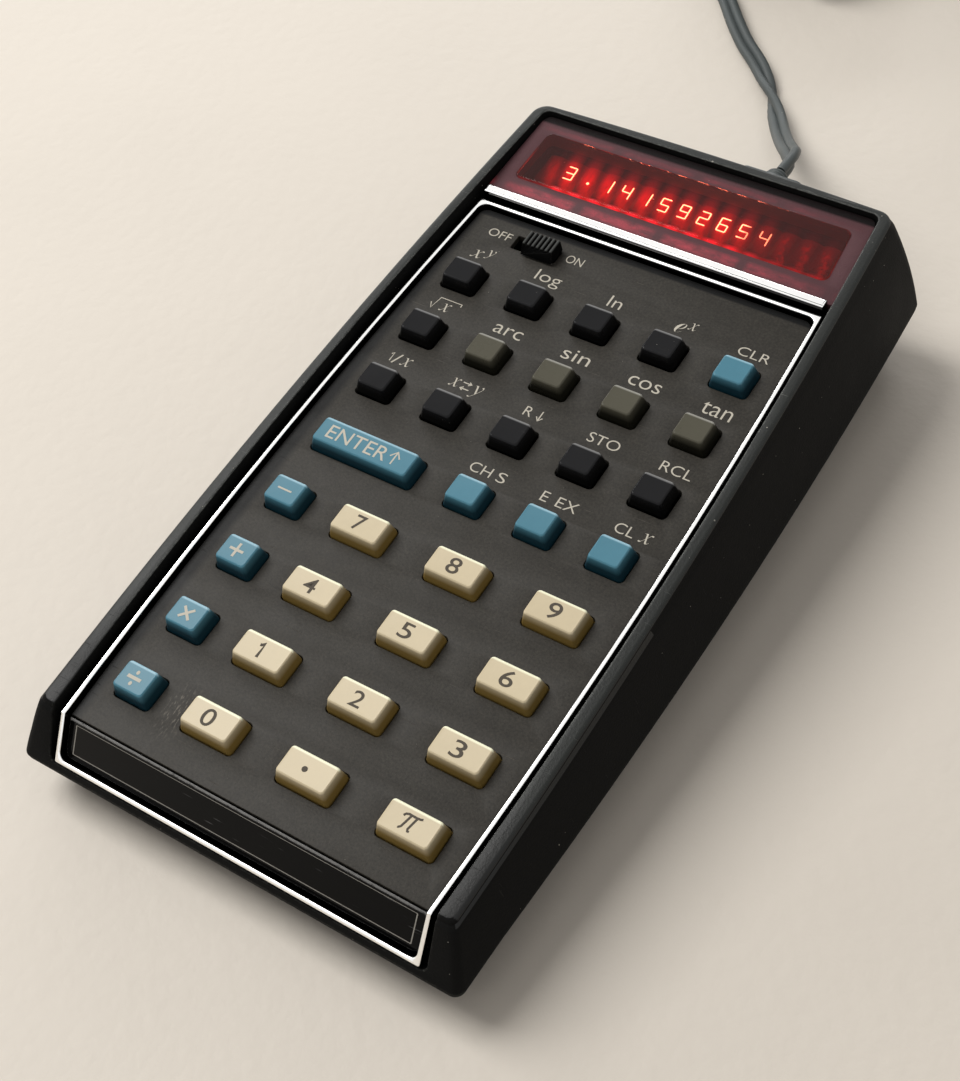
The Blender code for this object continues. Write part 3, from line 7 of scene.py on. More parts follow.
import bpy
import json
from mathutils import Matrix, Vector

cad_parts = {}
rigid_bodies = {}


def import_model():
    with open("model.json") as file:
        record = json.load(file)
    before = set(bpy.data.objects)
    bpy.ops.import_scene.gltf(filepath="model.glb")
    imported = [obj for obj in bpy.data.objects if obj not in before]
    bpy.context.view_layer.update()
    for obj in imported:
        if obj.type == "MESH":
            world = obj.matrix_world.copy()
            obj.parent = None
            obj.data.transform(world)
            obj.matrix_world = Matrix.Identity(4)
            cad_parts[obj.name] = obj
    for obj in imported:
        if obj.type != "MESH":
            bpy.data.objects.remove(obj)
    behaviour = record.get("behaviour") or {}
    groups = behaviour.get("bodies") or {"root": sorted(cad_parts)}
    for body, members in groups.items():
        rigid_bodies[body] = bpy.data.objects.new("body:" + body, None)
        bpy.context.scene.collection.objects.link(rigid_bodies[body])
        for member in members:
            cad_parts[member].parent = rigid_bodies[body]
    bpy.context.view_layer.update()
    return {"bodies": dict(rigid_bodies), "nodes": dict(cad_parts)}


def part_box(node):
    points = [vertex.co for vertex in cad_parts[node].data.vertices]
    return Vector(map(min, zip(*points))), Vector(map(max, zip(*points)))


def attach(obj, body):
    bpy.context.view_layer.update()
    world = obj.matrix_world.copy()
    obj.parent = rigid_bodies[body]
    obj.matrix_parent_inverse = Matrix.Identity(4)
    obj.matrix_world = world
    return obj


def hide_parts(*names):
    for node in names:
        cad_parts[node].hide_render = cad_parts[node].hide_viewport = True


bl_info = {
    "name": "Pocket Calculator Finish",
    "version": (1, 0, 0),
    "blender": (4, 5, 0),
    "location": "View3D > Sidebar > Calculator",
    "description": "Builds the finished pieces of a pocket calculator round its packed parts",
    "category": "Object",
}

import json
from functools import reduce
from math import acos, asin, atan2, ceil, cos, degrees, pi, radians, sin, tan

import bmesh
import bpy
from mathutils import Matrix, Vector

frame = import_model()

MM = 0.001

# Case, as in the part's source
SEAT_GAP = 0.3 * MM
CASE_LENGTH = 148.0 * MM
CASE_HALF_WIDTH = 40.8 * MM
HEIGHT_FRONT = 17.6 * MM
HEIGHT_REAR = 33.0 * MM
PARTING_HEIGHT_FRONT = 7.3 * MM
PARTING_HEIGHT_REAR = 10.8 * MM
FLOOR_CLEARANCE = 1.2 * MM
WALL = 2.0 * MM
BASE_THICKNESS = 1.6 * MM
PARTING_SIDE = (CASE_HALF_WIDTH, -CASE_LENGTH / 2 + 58.2 * MM, 1270 * MM)
SIDE_SWELL = 0.4
BOW_REACH = 50 * MM
BOW_STEPS = 16
RIM_FRONT_Y = -CASE_LENGTH / 2 + 4.9 * MM
RIM_REAR_Y = CASE_LENGTH / 2 - 5.8 * MM
RIM_HALF_WIDTH = CASE_HALF_WIDTH - 3.35 * MM
RIM_SIDE = (RIM_HALF_WIDTH, -CASE_LENGTH / 2 + 42.7 * MM, 1420 * MM)
RIM_SLOPE = (HEIGHT_REAR - HEIGHT_FRONT) / (RIM_REAR_Y - RIM_FRONT_Y)
RIM_WIDTH = 2.15 * MM
RIM_WIDTH_REAR = 1.9 * MM
RIM_DEPTH_FRONT = 2.2 * MM
RIM_DEPTH_REAR = 3.2 * MM
REAR_CROWN = 0.5 * MM
BASE_RUN = 5.0 * MM
CAVITY_LEAN = 4.5 * MM
RIM_CORNERS = (1.2 * MM, 2.8 * MM)
PARTING_CORNERS = (1.6 * MM, 2.2 * MM)
CAVITY_CORNER_RADIUS = 2.0 * MM
RECESS_WIDEST_FROM_FRONT = 54.9 * MM
RECESS_BOW_RADIUS = 1100 * MM
RECESS_CORNER_RADIUS = 1.5 * MM
FOOT_PLACES = {"left": (-26.5 * MM, -61 * MM), "right": (26.5 * MM, -61 * MM)}
FOOT_RECESS = 0.8 * MM

# Keyboard plane: a place in it is (across, towards the display, above the key plate)
KEY_TILT = atan2(
    HEIGHT_REAR - RIM_DEPTH_REAR - HEIGHT_FRONT + RIM_DEPTH_FRONT, RIM_REAR_Y - RIM_FRONT_Y
)
KEY_PITCH = 12.7 * MM
NUMBER_PITCH = 1.375 * KEY_PITCH
KEY_ROWS = 8
FOLD = -(KEY_ROWS - 1) * KEY_PITCH - 9.3 * MM
PLANE_Y = RIM_FRONT_Y + 0.35 * MM - FOLD * cos(KEY_TILT)
PLANE_Z = HEIGHT_FRONT - RIM_DEPTH_FRONT + (PLANE_Y - RIM_FRONT_Y) * tan(KEY_TILT)
PLANE = Matrix.Translation((0, PLANE_Y, PLANE_Z)) @ Matrix.Rotation(KEY_TILT, 4, "X")
FRONT_FALL = radians(52.5)
FRONT_LENGTH = 8.7 * MM
FRAME_TOP = 1.1 * MM
FRAME_WIDTH = 0.8 * MM
FRAME_INSET = 1.05 * MM
FRAME_REAR = 16.5 * MM
FRAME_CORNER_RADIUS = 1.5 * MM
FRAME_FOOT_RADIUS = 1.2 * MM
PLATE_INSET = FRAME_INSET + FRAME_WIDTH + SEAT_GAP
PLATE_THICKNESS = 1.2 * MM
FRONT_PLATE_THICKNESS = 0.6 * MM
LEDGE = -PLATE_THICKNESS - SEAT_GAP
ROOF = LEDGE - 1.5 * MM

# Keys
KEY_HOLE = (6.52 * MM, 5.74 * MM)
KEY_HOLE_GAP = 0.24 * MM
KEY_FLANGE = 0.45 * MM
FLANGE_TOP = LEDGE
FLANGE_BOTTOM = FLANGE_TOP - 0.9 * MM
KEYS_HALF_WIDTH = 2 * KEY_PITCH + KEY_HOLE[0] / 2 + KEY_FLANGE
KEYS_FRONT = -(KEY_ROWS - 1) * KEY_PITCH - KEY_HOLE[1] / 2 - KEY_FLANGE

# Switch, trim and window
SWITCH_PLACE = (-16.45 * MM, 10.8 * MM)
SWITCH_TRAVEL = 2.65 * MM
SWITCH_KNOB = (6.1 * MM, 3.0 * MM, 2.2 * MM)
SWITCH_RIDGES = 7
SWITCH_SLOT_WIDTH = 3.0 * MM
TRIM_FRONT = FRAME_REAR + 0.65 * MM
TRIM_SIZE = (64.2 * MM, 1.7 * MM, 3.6 * MM)
WINDOW_FRONT = TRIM_FRONT + TRIM_SIZE[1] + SEAT_GAP
WINDOW_TOP = (1.0 * MM, 2.2 * MM)
BORDER_THICKNESS = 1.8 * MM
PANEL_WIDTHS = (59.4 * MM, 58.2 * MM)
PANEL_DEPTH = 11.0 * MM
PANEL_FRONT = WINDOW_FRONT + 3.9 * MM
PANEL_CORNER = 1.2 * MM
PANEL_RISE = 0.25 * MM
PANE_THICKNESS = 1.0 * MM
DIGIT_PITCH = 3.75 * MM
DIGIT_Y = 30.4 * MM
DIGIT_LEVELS = (-2.45 * MM, -2.4 * MM)
FIRST_DIGIT_X = -23.0 * MM
LENS_LENGTH = 15 * DIGIT_PITCH
LENS_MIDDLE_X = -0.5 * MM
LENS_WIDTH = 6.0 * MM

# Door, battery and latches
DOOR_HALF_WIDTH = 30.0 * MM
HINGE_RADIUS = 0.8 * MM
HINGE = (24.1 * MM + HINGE_RADIUS, FLOOR_CLEARANCE + HINGE_RADIUS)
CELL_RADIUS = 7.1 * MM
CELL_LENGTH = 50.0 * MM
PACK_FRONT_Y = HINGE[0] - 1.1 * MM
PACK_REAR_Y = PACK_FRONT_Y + 6 * CELL_RADIUS
DOOR_REAR_Y = PACK_REAR_Y + 1.1 * MM
BASE_TOP = FLOOR_CLEARANCE + BASE_THICKNESS
LATCH_Y = PACK_REAR_Y - 2 * CELL_RADIUS
LATCH_NECK = (2.0 * MM, 3.0 * MM)
LATCH_X = DOOR_HALF_WIDTH - MM - LATCH_NECK[0] / 2
LATCH_TRAVEL = 2.4 * MM

# Charger socket, plug, lead and block
SOCKET = (7.0 * MM, 22.0 * MM)
SOCKET_SIZE = (14.0 * MM, 6.6 * MM, 7.8 * MM)
SOCKET_REAR_Y = CASE_LENGTH / 2 - 2.4 * MM
PLUG_GRIP = (12.4 * MM, 3.9 * MM, 5.6 * MM)
PLUG_GRIP_Y = CASE_LENGTH / 2 - 0.4 * MM
CORD_DIAMETER = 3.4 * MM
CORD_START = Vector((7.0, 80.1, 22.0)) * MM
CORD_ROUTE = [
    (6.9, 84.6, 21.7), (5.0, 88.6, 19.8), (1.4, 94.6, 15.6), (-3.2, 102.4, 10.0),
    (-8.3, 110.9, 5.0), (-13.2, 118.6, 2.4), (-18.6, 126.0, 1.8), (-24.2, 132.2, 1.8),
    (-30.0, 137.4, 1.8), (-35.6, 143.4, 1.8), (-41.4, 150.2, 1.8), (-49.0, 158.0, 1.8),
]
CORD_FLOOR = 1.8 * MM
COIL_CENTRE = (-40.0 * MM, 187.0 * MM)
COIL_START = 225.0
COIL_TURNS = 13.375
COIL_LAYERS = 4
COIL_PITCH = 4.0 * MM
COIL_RADIUS = 19.89 * MM
COIL_TAIL = 16.0 * MM
BLOCK_RELIEF_LENGTH = 14.0 * MM


def column(number):
    """Place across the keyboard of a column, counted from the left."""
    return (number - 2) * KEY_PITCH


NUMBER_X = [
    column(1) + (9.5 * MM - KEY_HOLE[0]) / 2 + i * NUMBER_PITCH for i in range(3)
]
# Widths of a key's top and of its hole, by kind of key
KEY_WIDTHS = {
    "small": (4.73 * MM, KEY_HOLE[0]),
    "sign": (5.1 * MM, KEY_HOLE[0]),
    "number": (8.0 * MM, 9.5 * MM),
    "enter": (17.4 * MM, 19.2 * MM),
}
# How much larger a hole is seen than the part's, and how far its middle lies to the right
HOLE_SPARE = (0.36 * MM, 0.24 * MM)
HOLE_SHIFT = (0.14 * MM, -0.1 * MM)
# Names of the keys, a string to each row from the rear
KEY_NAMES = (
    "x_to_y log ln e_to_x clr", "sqrt arc sin cos tan", "one_over_x swap roll_down sto rcl",
    "enter chs eex clx", "minus 7 8 9", "plus 4 5 6", "times 1 2 3", "divide 0 point pi",
)
ENTER_ROW = 3
GREY_KEYS = ("arc", "sin", "cos", "tan")
BLUE_KEYS = ("clr", "enter", "chs", "eex", "clx", "minus", "plus", "times", "divide")
# Legends on the key plate: text, and its left, right, foot and head in millimetres
PLATE_LEGENDS = [
    ("OFF", (-27.46, -23.04, 10.35, 12.04)), ("ON", (-12.0, -8.81, 10.35, 12.04)),
    ("𝑥", (-27.54, -25.46, 4.81, 6.65)), ("𝑦", (-25.08, -23.54, 5.38, 7.46)),
    ("log", (-14.77, -9.96, 4.23, 7.27)), ("ln", (-0.69, 1.77, 4.85, 7.23)),
    ("ℯ", (11.77, 13.5, 4.64, 6.75)), ("𝑥", (13.81, 15.23, 5.92, 7.52)),
    ("CLR", (23.23, 28.77, 4.73, 6.5)),
    ("𝑥", (-25.73, -23.92, -7.73, -5.95)),
    ("arc", (-14.96, -9.65, -7.81, -6.04)), ("sin", (-1.92, 3.15, -7.81, -5.38)),
    ("cos", (10.5, 16.19, -7.88, -6.04)), ("tan", (23.58, 28.77, -8.0, -5.65)),
    ("/", (-26.65, -25.35, -20.6, -18.45)), ("𝑥", (-25.08, -23.23, -20.46, -18.65)),
    ("𝑥", (-15.42, -13.69, -20.46, -18.65)), ("𝑦", (-11.31, -9.38, -21.23, -18.6)),
    ("R", (-1.23, 0.2, -20.46, -18.62)), ("STO", (10.54, 16.12, -20.54, -18.62)),
    ("RCL", (23.42, 28.81, -20.52, -18.6)),
    ("CH", (-3.12, 0.73, -33.46, -31.6)), ("S", (1.85, 3.38, -33.5, -31.58)),
    ("E", (9.92, 11.12, -33.46, -31.6)), ("EX", (12.65, 16.23, -33.46, -31.6)),
    ("CL", (22.92, 26.19, -33.48, -31.6)), ("𝑥", (27.2, 29.1, -33.48, -31.6)),
]
# Drawn strokes of the plate legends, in millimetres: the root sign, the arrows and the figure 1
PLATE_STROKES = [
    [(-27.75, -6.6), (-27.2, -7.75), (-26.65, -5.15), (-22.5, -5.15), (-22.5, -5.7)],
    [(-13.25, -18.95), (-11.75, -18.95)], [(-12.2, -18.6), (-11.65, -18.95), (-12.2, -19.3)],
    [(-13.1, -20.15), (-11.6, -20.15)], [(-12.7, -19.8), (-13.25, -20.15), (-12.7, -20.5)],
    [(-27.05, -20.36), (-27.05, -18.6), (-27.45, -18.98)],
    [(1.7, -18.6), (1.7, -20.4)], [(1.15, -19.85), (1.7, -20.6), (2.25, -19.85)],
]
# Lettering on the keys where it differs from the key's name
KEY_TEXT = {"enter": "ENTER", "minus": "−", "plus": "+", "times": "×", "divide": "÷"}
# Its left, right, foot and head from the key's own middle, in millimetres
KEY_MARKS = {
    "enter": (-7.05, 4.3, -1.3, 1.22),
    "minus": (-1.56, 1.02, -0.16, 0.14), "plus": (-1.56, 1.0, -1.3, 1.3),
    "times": (-1.37, 0.9, -1.2, 1.07), "divide": (-1.56, 0.9, -1.4, 1.3),
    "7": (-1.05, 0.78, -1.35, 1.35), "8": (-1.2, 0.92, -1.4, 1.42), "9": (-1.2, 0.98, -1.4, 1.42),
    "4": (-1.35, 0.78, -1.38, 1.28), "5": (-1.28, 0.85, -1.38, 1.32), "6": (-1.25, 0.92, -1.4, 1.38),
    "2": (-1.08, 0.85, -1.45, 1.22), "3": (-1.28, 0.82, -1.45, 1.3), "0": (-1.48, 0.7, -1.5, 1.36),
}
POINT_WIDTH = 0.92 * MM
POINT_PLACE = (-0.36 * MM, -0.18 * MM)
# Drawn strokes of the keys' own figures: width and places from the key's middle, in millimetres
KEY_STROKES = {
    "enter": [(0.26, [(5.65, -1.25), (5.65, 1.2)]),
              (0.26, [(4.75, 0.1), (5.65, 1.25), (6.55, 0.1)])],
    "1": [(0.5, [(-0.22, -1.34), (-0.22, 1.2), (-0.36, 0.94), (-0.64, 0.76), (-0.88, 0.7)])],
    "pi": [(0.36, [(-1.45, 0.62), (-1.2, 0.98), (-0.8, 1.12), (0.5, 1.08), (1.1, 1.14), (1.42, 1.28)]),
           (0.36, [(-0.35, 1.05), (-0.62, -0.1), (-0.85, -0.95), (-1.1, -1.2), (-1.25, -1.18)]),
           (0.36, [(0.62, 1.05), (0.42, 0.1), (0.22, -0.9), (0.36, -1.2), (0.62, -1.16)])],
}

# Lit bars of each digit: a top, b and c right, d foot, e and f left, g middle
DIGIT_BARS = {
    "1": "bc", "2": "abged", "3": "abgcd", "4": "fgbc", "5": "afgcd", "6": "afgedc", "9": "abfgcd",
}
# Ends of each bar, in halves of the digit's width and height from its middle
BAR_ENDS = {
    "a": ((-1, 1), (1, 1)), "b": ((1, 1), (1, 0)), "c": ((1, 0), (1, -1)), "d": ((-1, -1), (1, -1)),
    "e": ((-1, 0), (-1, -1)), "f": ((-1, 1), (-1, 0)), "g": ((-1, 0), (1, 0)),
}
DISPLAY_DIGITS = "3.141592654"


# Settings that a user would change


def length(title, description, default):
    return bpy.props.FloatProperty(
        name=title, description=description, default=default, min=0, precision=5,
        subtype="DISTANCE", unit="LENGTH",
    )


def share(title, description, default):
    return bpy.props.FloatProperty(
        name=title, description=description, default=default, min=0, max=2, subtype="FACTOR"
    )


def colour(title, description, default):
    return bpy.props.FloatVectorProperty(
        name=title, description=description, default=default, size=3, min=0, max=1,
        subtype="COLOR",
    )


class CalculatorSizes(bpy.types.PropertyGroup):
    """Sizes of the calculator's visible detail."""

    key_height: length("Key height", "Height of a key's top above the plate", 2.46 * MM)
    key_depth: length("Key top depth", "Depth of a key's flat top", 4.2 * MM)
    key_rounding: length("Key rounding", "Radius between a key's top and sides", 0.45 * MM)
    rim_rounding: length("Rim rounding", "Radius of the case's upper outer edge", 0.7 * MM)
    edge_rounding: length("Edge rounding", "Radius of moulded inner edges", 0.22 * MM)
    bead_rounding: length("Bead rounding", "Radius of the bright frame's edges", 0.3 * MM)
    digit_height: length("Digit height", "Height of the lit digits", 2.85 * MM)
    digit_width: length("Digit width", "Width of the lit digits", 1.6 * MM)
    digit_stroke: length("Digit stroke", "Width of a lit bar", 0.21 * MM)
    ink_thickness: length("Ink thickness", "Height of printed lettering", 0.02 * MM)
    floor_width: length("Floor width", "Width of the floor that the calculator lies on", 6.0)


class CalculatorColours(bpy.types.PropertyGroup):
    """Base colours of the calculator's finishes, as linear values."""

    case: colour("Case", "Textured black plastic", (0.0050, 0.0050, 0.0048))
    rim: colour("Rim", "Worn upper edge of the case", (0.012, 0.0135, 0.012))
    plate: colour("Key plate", "Satin dark plate under the keys", (0.0325, 0.0295, 0.0245))
    front_plate: colour("Front plate", "Polished black plate on the front", (0.003, 0.003, 0.003))
    outline: colour("Outline", "Thin line round the front plate", (0.16, 0.15, 0.13))
    chrome: colour("Chrome", "Bright frame and bar", (0.96, 0.95, 0.93))
    key_black: colour("Black keys", "Plastic of the black keys", (0.010, 0.010, 0.011))
    key_grey: colour("Grey keys", "Plastic of the grey keys", (0.085, 0.080, 0.058))
    key_blue: colour("Blue keys", "Plastic of the blue keys", (0.070, 0.215, 0.290))
    key_beige: colour("Number keys", "Plastic of the number keys", (0.615, 0.52, 0.345))
    legend: colour("Plate lettering", "Ink on the key plate", (0.36, 0.335, 0.28))
    figure: colour("Key figures", "Ink on the number keys", (0.035, 0.026, 0.015))
    window: colour("Window border", "Grained border of the window", (0.100, 0.046, 0.052))
    pane: colour("Window pane", "Tinted polished pane", (0.42, 0.05, 0.045))
    led: colour("Digits", "Light of the digits", (0.66, 1.0, 0.55))
    cord: colour("Cord", "Sheath of the lead", (0.060, 0.070, 0.070))
    block: colour("Charger", "Plastic of the charger block", (0.014, 0.014, 0.014))
    rubber: colour("Rubber", "Feet", (0.018, 0.018, 0.017))
    board: colour("Board", "Resist on the boards", (0.018, 0.085, 0.03))
    gold: colour("Contacts", "Plated contact metal", (0.80, 0.58, 0.26))
    battery: colour("Battery wrap", "Sleeve round the cells", (0.36, 0.33, 0.26))
    floor: colour("Floor", "Plain pale floor", (0.73, 0.675, 0.60))


class CalculatorWear(bpy.types.PropertyGroup):
    """How used the calculator looks."""

    edges: share("Worn edges", "How far the edges are rubbed bright", 0.55)
    scratches: share("Scratches", "How many fine scratches there are", 0.5)
    dust: share("Dust", "How much dust lies on it", 0.5)


def sizes():
    return bpy.context.scene.calculator_sizes


def colours():
    return bpy.context.scene.calculator_colours


def wear():
    return bpy.context.scene.calculator_wear


# Outlines and meshes


def mix(a, b, part):
    return a + (b - a) * part


def arc(centre, radius, start, end, steps):
    """Points along an arc from one angle to another, in degrees, or its centre for a sharp corner."""
    if not radius:
        return [centre]
    return [
        (centre[0] + radius * cos(radians(a)), centre[1] + radius * sin(radians(a)))
        for a in (start + (end - start) * i / steps for i in range(steps + 1))
    ]


def bowed_outline(side, front, rear, corners, crown=0.0, inset=0.0):
    """Outline with bowed sides and rounded corners, anticlockwise from the right of its front."""

    def half_width(y):
        half, widest, bow_radius = side
        return half - inset - (max(y, widest - BOW_REACH) - widest) ** 2 / (2 * bow_radius)

    steps = BOW_STEPS
    front_radius, rear_radius = corners
    first, last = front + front_radius, rear - crown - rear_radius
    right = arc((half_width(first) - front_radius, first), front_radius, -90, 0, steps // 2)
    for i in range(1, steps):
        y = first + (last - first) * i / steps
        right.append((half_width(y), y))
    corner = half_width(last) - rear_radius
    right += arc((corner, last), rear_radius, 0, 90, steps // 2)
    crowned = []
    if crown:
        for i in range(1, steps):
            along = 1 - 2 * i / steps
            crowned.append((corner * along, rear - crown * along**2))
    return right + crowned + [(-x, y) for x, y in reversed(right)]


def rounded_rectangle(width, depth, radius, centre=(0.0, 0.0), steps=6):
    x, y = width / 2 - radius, depth / 2 - radius
    points = []
    for i, (a, b) in enumerate(((x, -y), (x, y), (-x, y), (-x, -y))):
        start = -90 + 90 * i
        points += arc((centre[0] + a, centre[1] + b), radius, start, start + 90, steps)
    return points


def rectangle(left, right, front, rear):
    return [(left, front), (right, front), (right, rear), (left, rear)]


def in_mm(points):
    return [(a * MM, b * MM) for a, b in points]


def linked(name, data):
    """New object with the data, in the scene."""
    made = bpy.data.objects.new(name, data)
    bpy.context.scene.collection.objects.link(made)
    return made


def evaluated(obj):
    """Mesh of an object with its bevel and its modifiers worked in."""
    graph = bpy.context.evaluated_depsgraph_get()
    return bpy.data.meshes.new_from_object(obj.evaluated_get(graph))


def to_mesh(builder, name):
    bmesh.ops.remove_doubles(builder, verts=builder.verts, dist=0.0005 * MM)
    bmesh.ops.recalc_face_normals(builder, faces=builder.faces)
    mesh = bpy.data.meshes.new(name)
    builder.to_mesh(mesh)
    builder.free()
    return mesh


def loft(name, rings):
    """Skin over rings of equally many points, capped at both ends."""
    builder = bmesh.new()
    loops = [[builder.verts.new(point) for point in ring] for ring in rings]
    for lower, upper in zip(loops, loops[1:]):
        for i in range(len(lower)):
            j = (i + 1) % len(lower)
            builder.faces.new((lower[i], lower[j], upper[j], upper[i]))
    builder.faces.new(reversed(loops[0]))
    builder.faces.new(loops[-1])
    return to_mesh(builder, name)


def curve_mesh(name, curve, height=0.0):
    """Mesh of a curve or text, whose own data is then removed."""
    holder = linked(name, curve)
    mesh = evaluated(holder)
    bpy.data.objects.remove(holder)
    bpy.data.curves.remove(curve)
    builder = bmesh.new()
    builder.from_mesh(mesh)
    bpy.data.meshes.remove(mesh)
    bmesh.ops.translate(builder, verts=builder.verts, vec=(0, 0, height))
    return to_mesh(builder, name)


def add_line(curve, points, closed):
    spline = curve.splines.new("POLY")
    spline.points.add(len(points) - 1)
    for point, (x, y) in zip(spline.points, points):
        point.co = (x, y, 0, 1)
    spline.use_cyclic_u = closed


def flat_solid(name, outlines, low, high, rounding=0.0, steps=3):
    """Flat outline, with any further outlines as its holes, raised from one height to another.

    Its upper and lower edges are rounded by a curve's own bevel, which follows every corner.
    """
    curve = bpy.data.curves.new(name, "CURVE")
    curve.dimensions = "2D"
    curve.fill_mode = "BOTH"
    curve.extrude = (high - low) / 2 - rounding
    curve.bevel_depth = rounding
    curve.bevel_resolution = steps - 1
    curve.offset = -rounding
    for outline in outlines:
        add_line(curve, outline, True)
    return curve_mesh(name, curve, (low + high) / 2)


def side_solid(name, outlines, left, right, rounding=0.0):
    """Outlines given as (y, z), drawn out along X."""
    turn = Matrix(((0, 0, 1, 0), (1, 0, 0, 0), (0, 1, 0, 0), (0, 0, 0, 1)))
    return placed(flat_solid(name, outlines, left, right, rounding), turn)


def rear_solid(name, outline, front, rear, rounding=0.0):
    """Outline given as (x, z), drawn out along Y."""
    turn = Matrix(((1, 0, 0, 0), (0, 0, -1, 0), (0, 1, 0, 0), (0, 0, 0, 1)))
    return placed(flat_solid(name, [outline], -rear, -front, rounding), turn)


def rounded_box(name, size, centre, radius, rounding=0.0):
    """Block with rounded upright corners and rounded upper and lower edges."""
    outline = rounded_rectangle(size[0], size[1], radius, centre[:2])
    low, high = centre[2] - size[2] / 2, centre[2] + size[2] / 2
    return flat_solid(name, [outline], low, high, rounding)


def turned(name, profile, sides=48):
    """Body turned round Z from its profile of (radius, height), from its foot to its top."""
    turns = [2 * pi * i / sides for i in range(sides)]
    return loft(name, [[(radius * cos(t), radius * sin(t), height) for t in turns]
                       for radius, height in profile])


def joined(name, *layers):
    """One mesh from several, given as a list for each place in the list of materials."""
    builder = bmesh.new()
    for index, meshes in enumerate(layers):
        for mesh in meshes:
            before = len(builder.faces)
            builder.from_mesh(mesh)
            builder.faces.ensure_lookup_table()
            for face in builder.faces[before:]:
                face.material_index = index
            bpy.data.meshes.remove(mesh)
    mesh = bpy.data.meshes.new(name)
    builder.to_mesh(mesh)
    builder.free()
    return mesh


def cut(mesh, tools):
    """The mesh with the tools cut from it."""
    made = [linked("body", mesh)]
    for tool in tools:
        made.append(linked("tool", tool))
        modifier = made[0].modifiers.new("cut", "BOOLEAN")
        modifier.operation = "DIFFERENCE"
        modifier.object = made[-1]
    result = evaluated(made[0])
    for obj in made:
        data = obj.data
        bpy.data.objects.remove(obj)
        bpy.data.meshes.remove(data)
    return result


def soften(mesh, width, angle=50, segments=3):
    """Rounds the sharp edges of a mesh that was cut."""
    body = linked("body", mesh)
    modifier = body.modifiers.new("rounding", "BEVEL")
    modifier.width = width
    modifier.segments = segments
    modifier.limit_method = "ANGLE"
    modifier.angle_limit = radians(angle)
    modifier.use_clamp_overlap = False
    modifier.miter_outer = "MITER_ARC"
    result = evaluated(body)
    bpy.data.objects.remove(body)
    bpy.data.meshes.remove(mesh)
    return result


def placed(mesh, matrix=PLANE):
    mesh.transform(matrix)
    return mesh


def moved(mesh, *place):
    return placed(mesh, Matrix.Translation(place))


def piece(name, mesh, body, materials, replaces=(), sharp=35):
    """A finished piece: smooth, with its materials, riding on its body."""
    mesh.name = name
    for material in materials:
        mesh.materials.append(material)
    mesh.shade_smooth()
    mesh.set_sharp_from_angle(angle=radians(sharp))
    made = linked(name, mesh)
    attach(made, body)
    if replaces:
        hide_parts(*replaces)
    return made


def dress(node, material):
    """Gives a carried-over part its finish."""
    slots = frame["nodes"][node].data.materials
    slots.clear()
    slots.append(material)


# Node trees


class Wiring:
    """Adds nodes to one tree and links them."""

    def __init__(self, tree):
        self.tree = tree

    def node(self, kind, feeds=None, **settings):
        made = self.tree.nodes.new(kind)
        for key, value in settings.items():
            setattr(made, key, value)
        for key, value in (feeds or {}).items():
            self.feed(made.inputs[key], value)
        return made

    def feed(self, socket, value):
        if isinstance(value, bpy.types.NodeSocket):
            self.tree.links.new(value, socket)
        else:
            socket.default_value = value

    def maths(self, operation, a, b=0.5, clamp=False):
        return self.node(
            "ShaderNodeMath", {0: a, 1: b}, operation=operation, use_clamp=clamp
        ).outputs[0]

    def times(self, *values):
        return reduce(lambda a, b: self.maths("MULTIPLY", a, b), values)

    def plus(self, *values):
        return reduce(lambda a, b: self.maths("ADD", a, b), values)

    def minus(self, a, b):
        return self.maths("SUBTRACT", a, b)

    def vectors(self, operation, a, b=(0, 0, 0), output="Vector"):
        return self.node("ShaderNodeVectorMath", {0: a, 1: b}, operation=operation).outputs[output]

    def scaled(self, vector, factor):
        return self.node(
            "ShaderNodeVectorMath", {0: vector, "Scale": factor}, operation="SCALE"
        ).outputs[0]

    def blend(self, part, a, b):
        """Colour a, turning to b with the given share."""
        a, b = [(*c, 1) if isinstance(c, (tuple, list)) and len(c) == 3 else c for c in (a, b)]
        return self.node("ShaderNodeMix", {0: part, 6: a, 7: b}, data_type="RGBA").outputs[2]

    def span(self, value, low, high, start=0.0, end=1.0):
        """Value mapped from low and high to start and end, and kept between them."""
        return self.node(
            "ShaderNodeMapRange", {0: value, 1: low, 2: high, 3: start, 4: end}
        ).outputs[0]

    def window(self, value, low, rising, falling, high):
        """1 between rising and falling, fading to 0 at low and high."""
        return self.times(self.span(value, low, rising), self.span(value, high, falling))

    def noise(self, vector, scale, detail=2.0, roughness=0.5):
        return self.node(
            "ShaderNodeTexNoise",
            {"Vector": vector, "Scale": scale, "Detail": detail, "Roughness": roughness},
        ).outputs[0]

    def stretched(self, vector, scale, turn=0.0):
        return self.node(
            "ShaderNodeMapping",
            {"Vector": vector, "Scale": scale, "Rotation": (0, 0, turn)},
        ).outputs[0]

    def group(self, name, **feeds):
        made = self.node("ShaderNodeGroup", node_tree=bpy.data.node_groups[name])
        for key, value in feeds.items():
            self.feed(made.inputs[key.title()], value)
        return made.outputs[0]


def new_group(name, output, **inputs):
    """A node group with a vector and the given values as inputs, its wiring and its sockets."""
    tree = bpy.data.node_groups.new(name, "ShaderNodeTree")
    tree.interface.new_socket("Vector", in_out="INPUT", socket_type="NodeSocketVector")
    for title, default in inputs.items():
        socket = tree.interface.new_socket(title.title(), in_out="INPUT",
                                           socket_type="NodeSocketFloat")
        socket.default_value = default
    tree.interface.new_socket(output, in_out="OUTPUT", socket_type="NodeSocketFloat")
    given = tree.nodes.new("NodeGroupInput").outputs
    return Wiring(tree), given, tree.nodes.new("NodeGroupOutput").inputs[0]


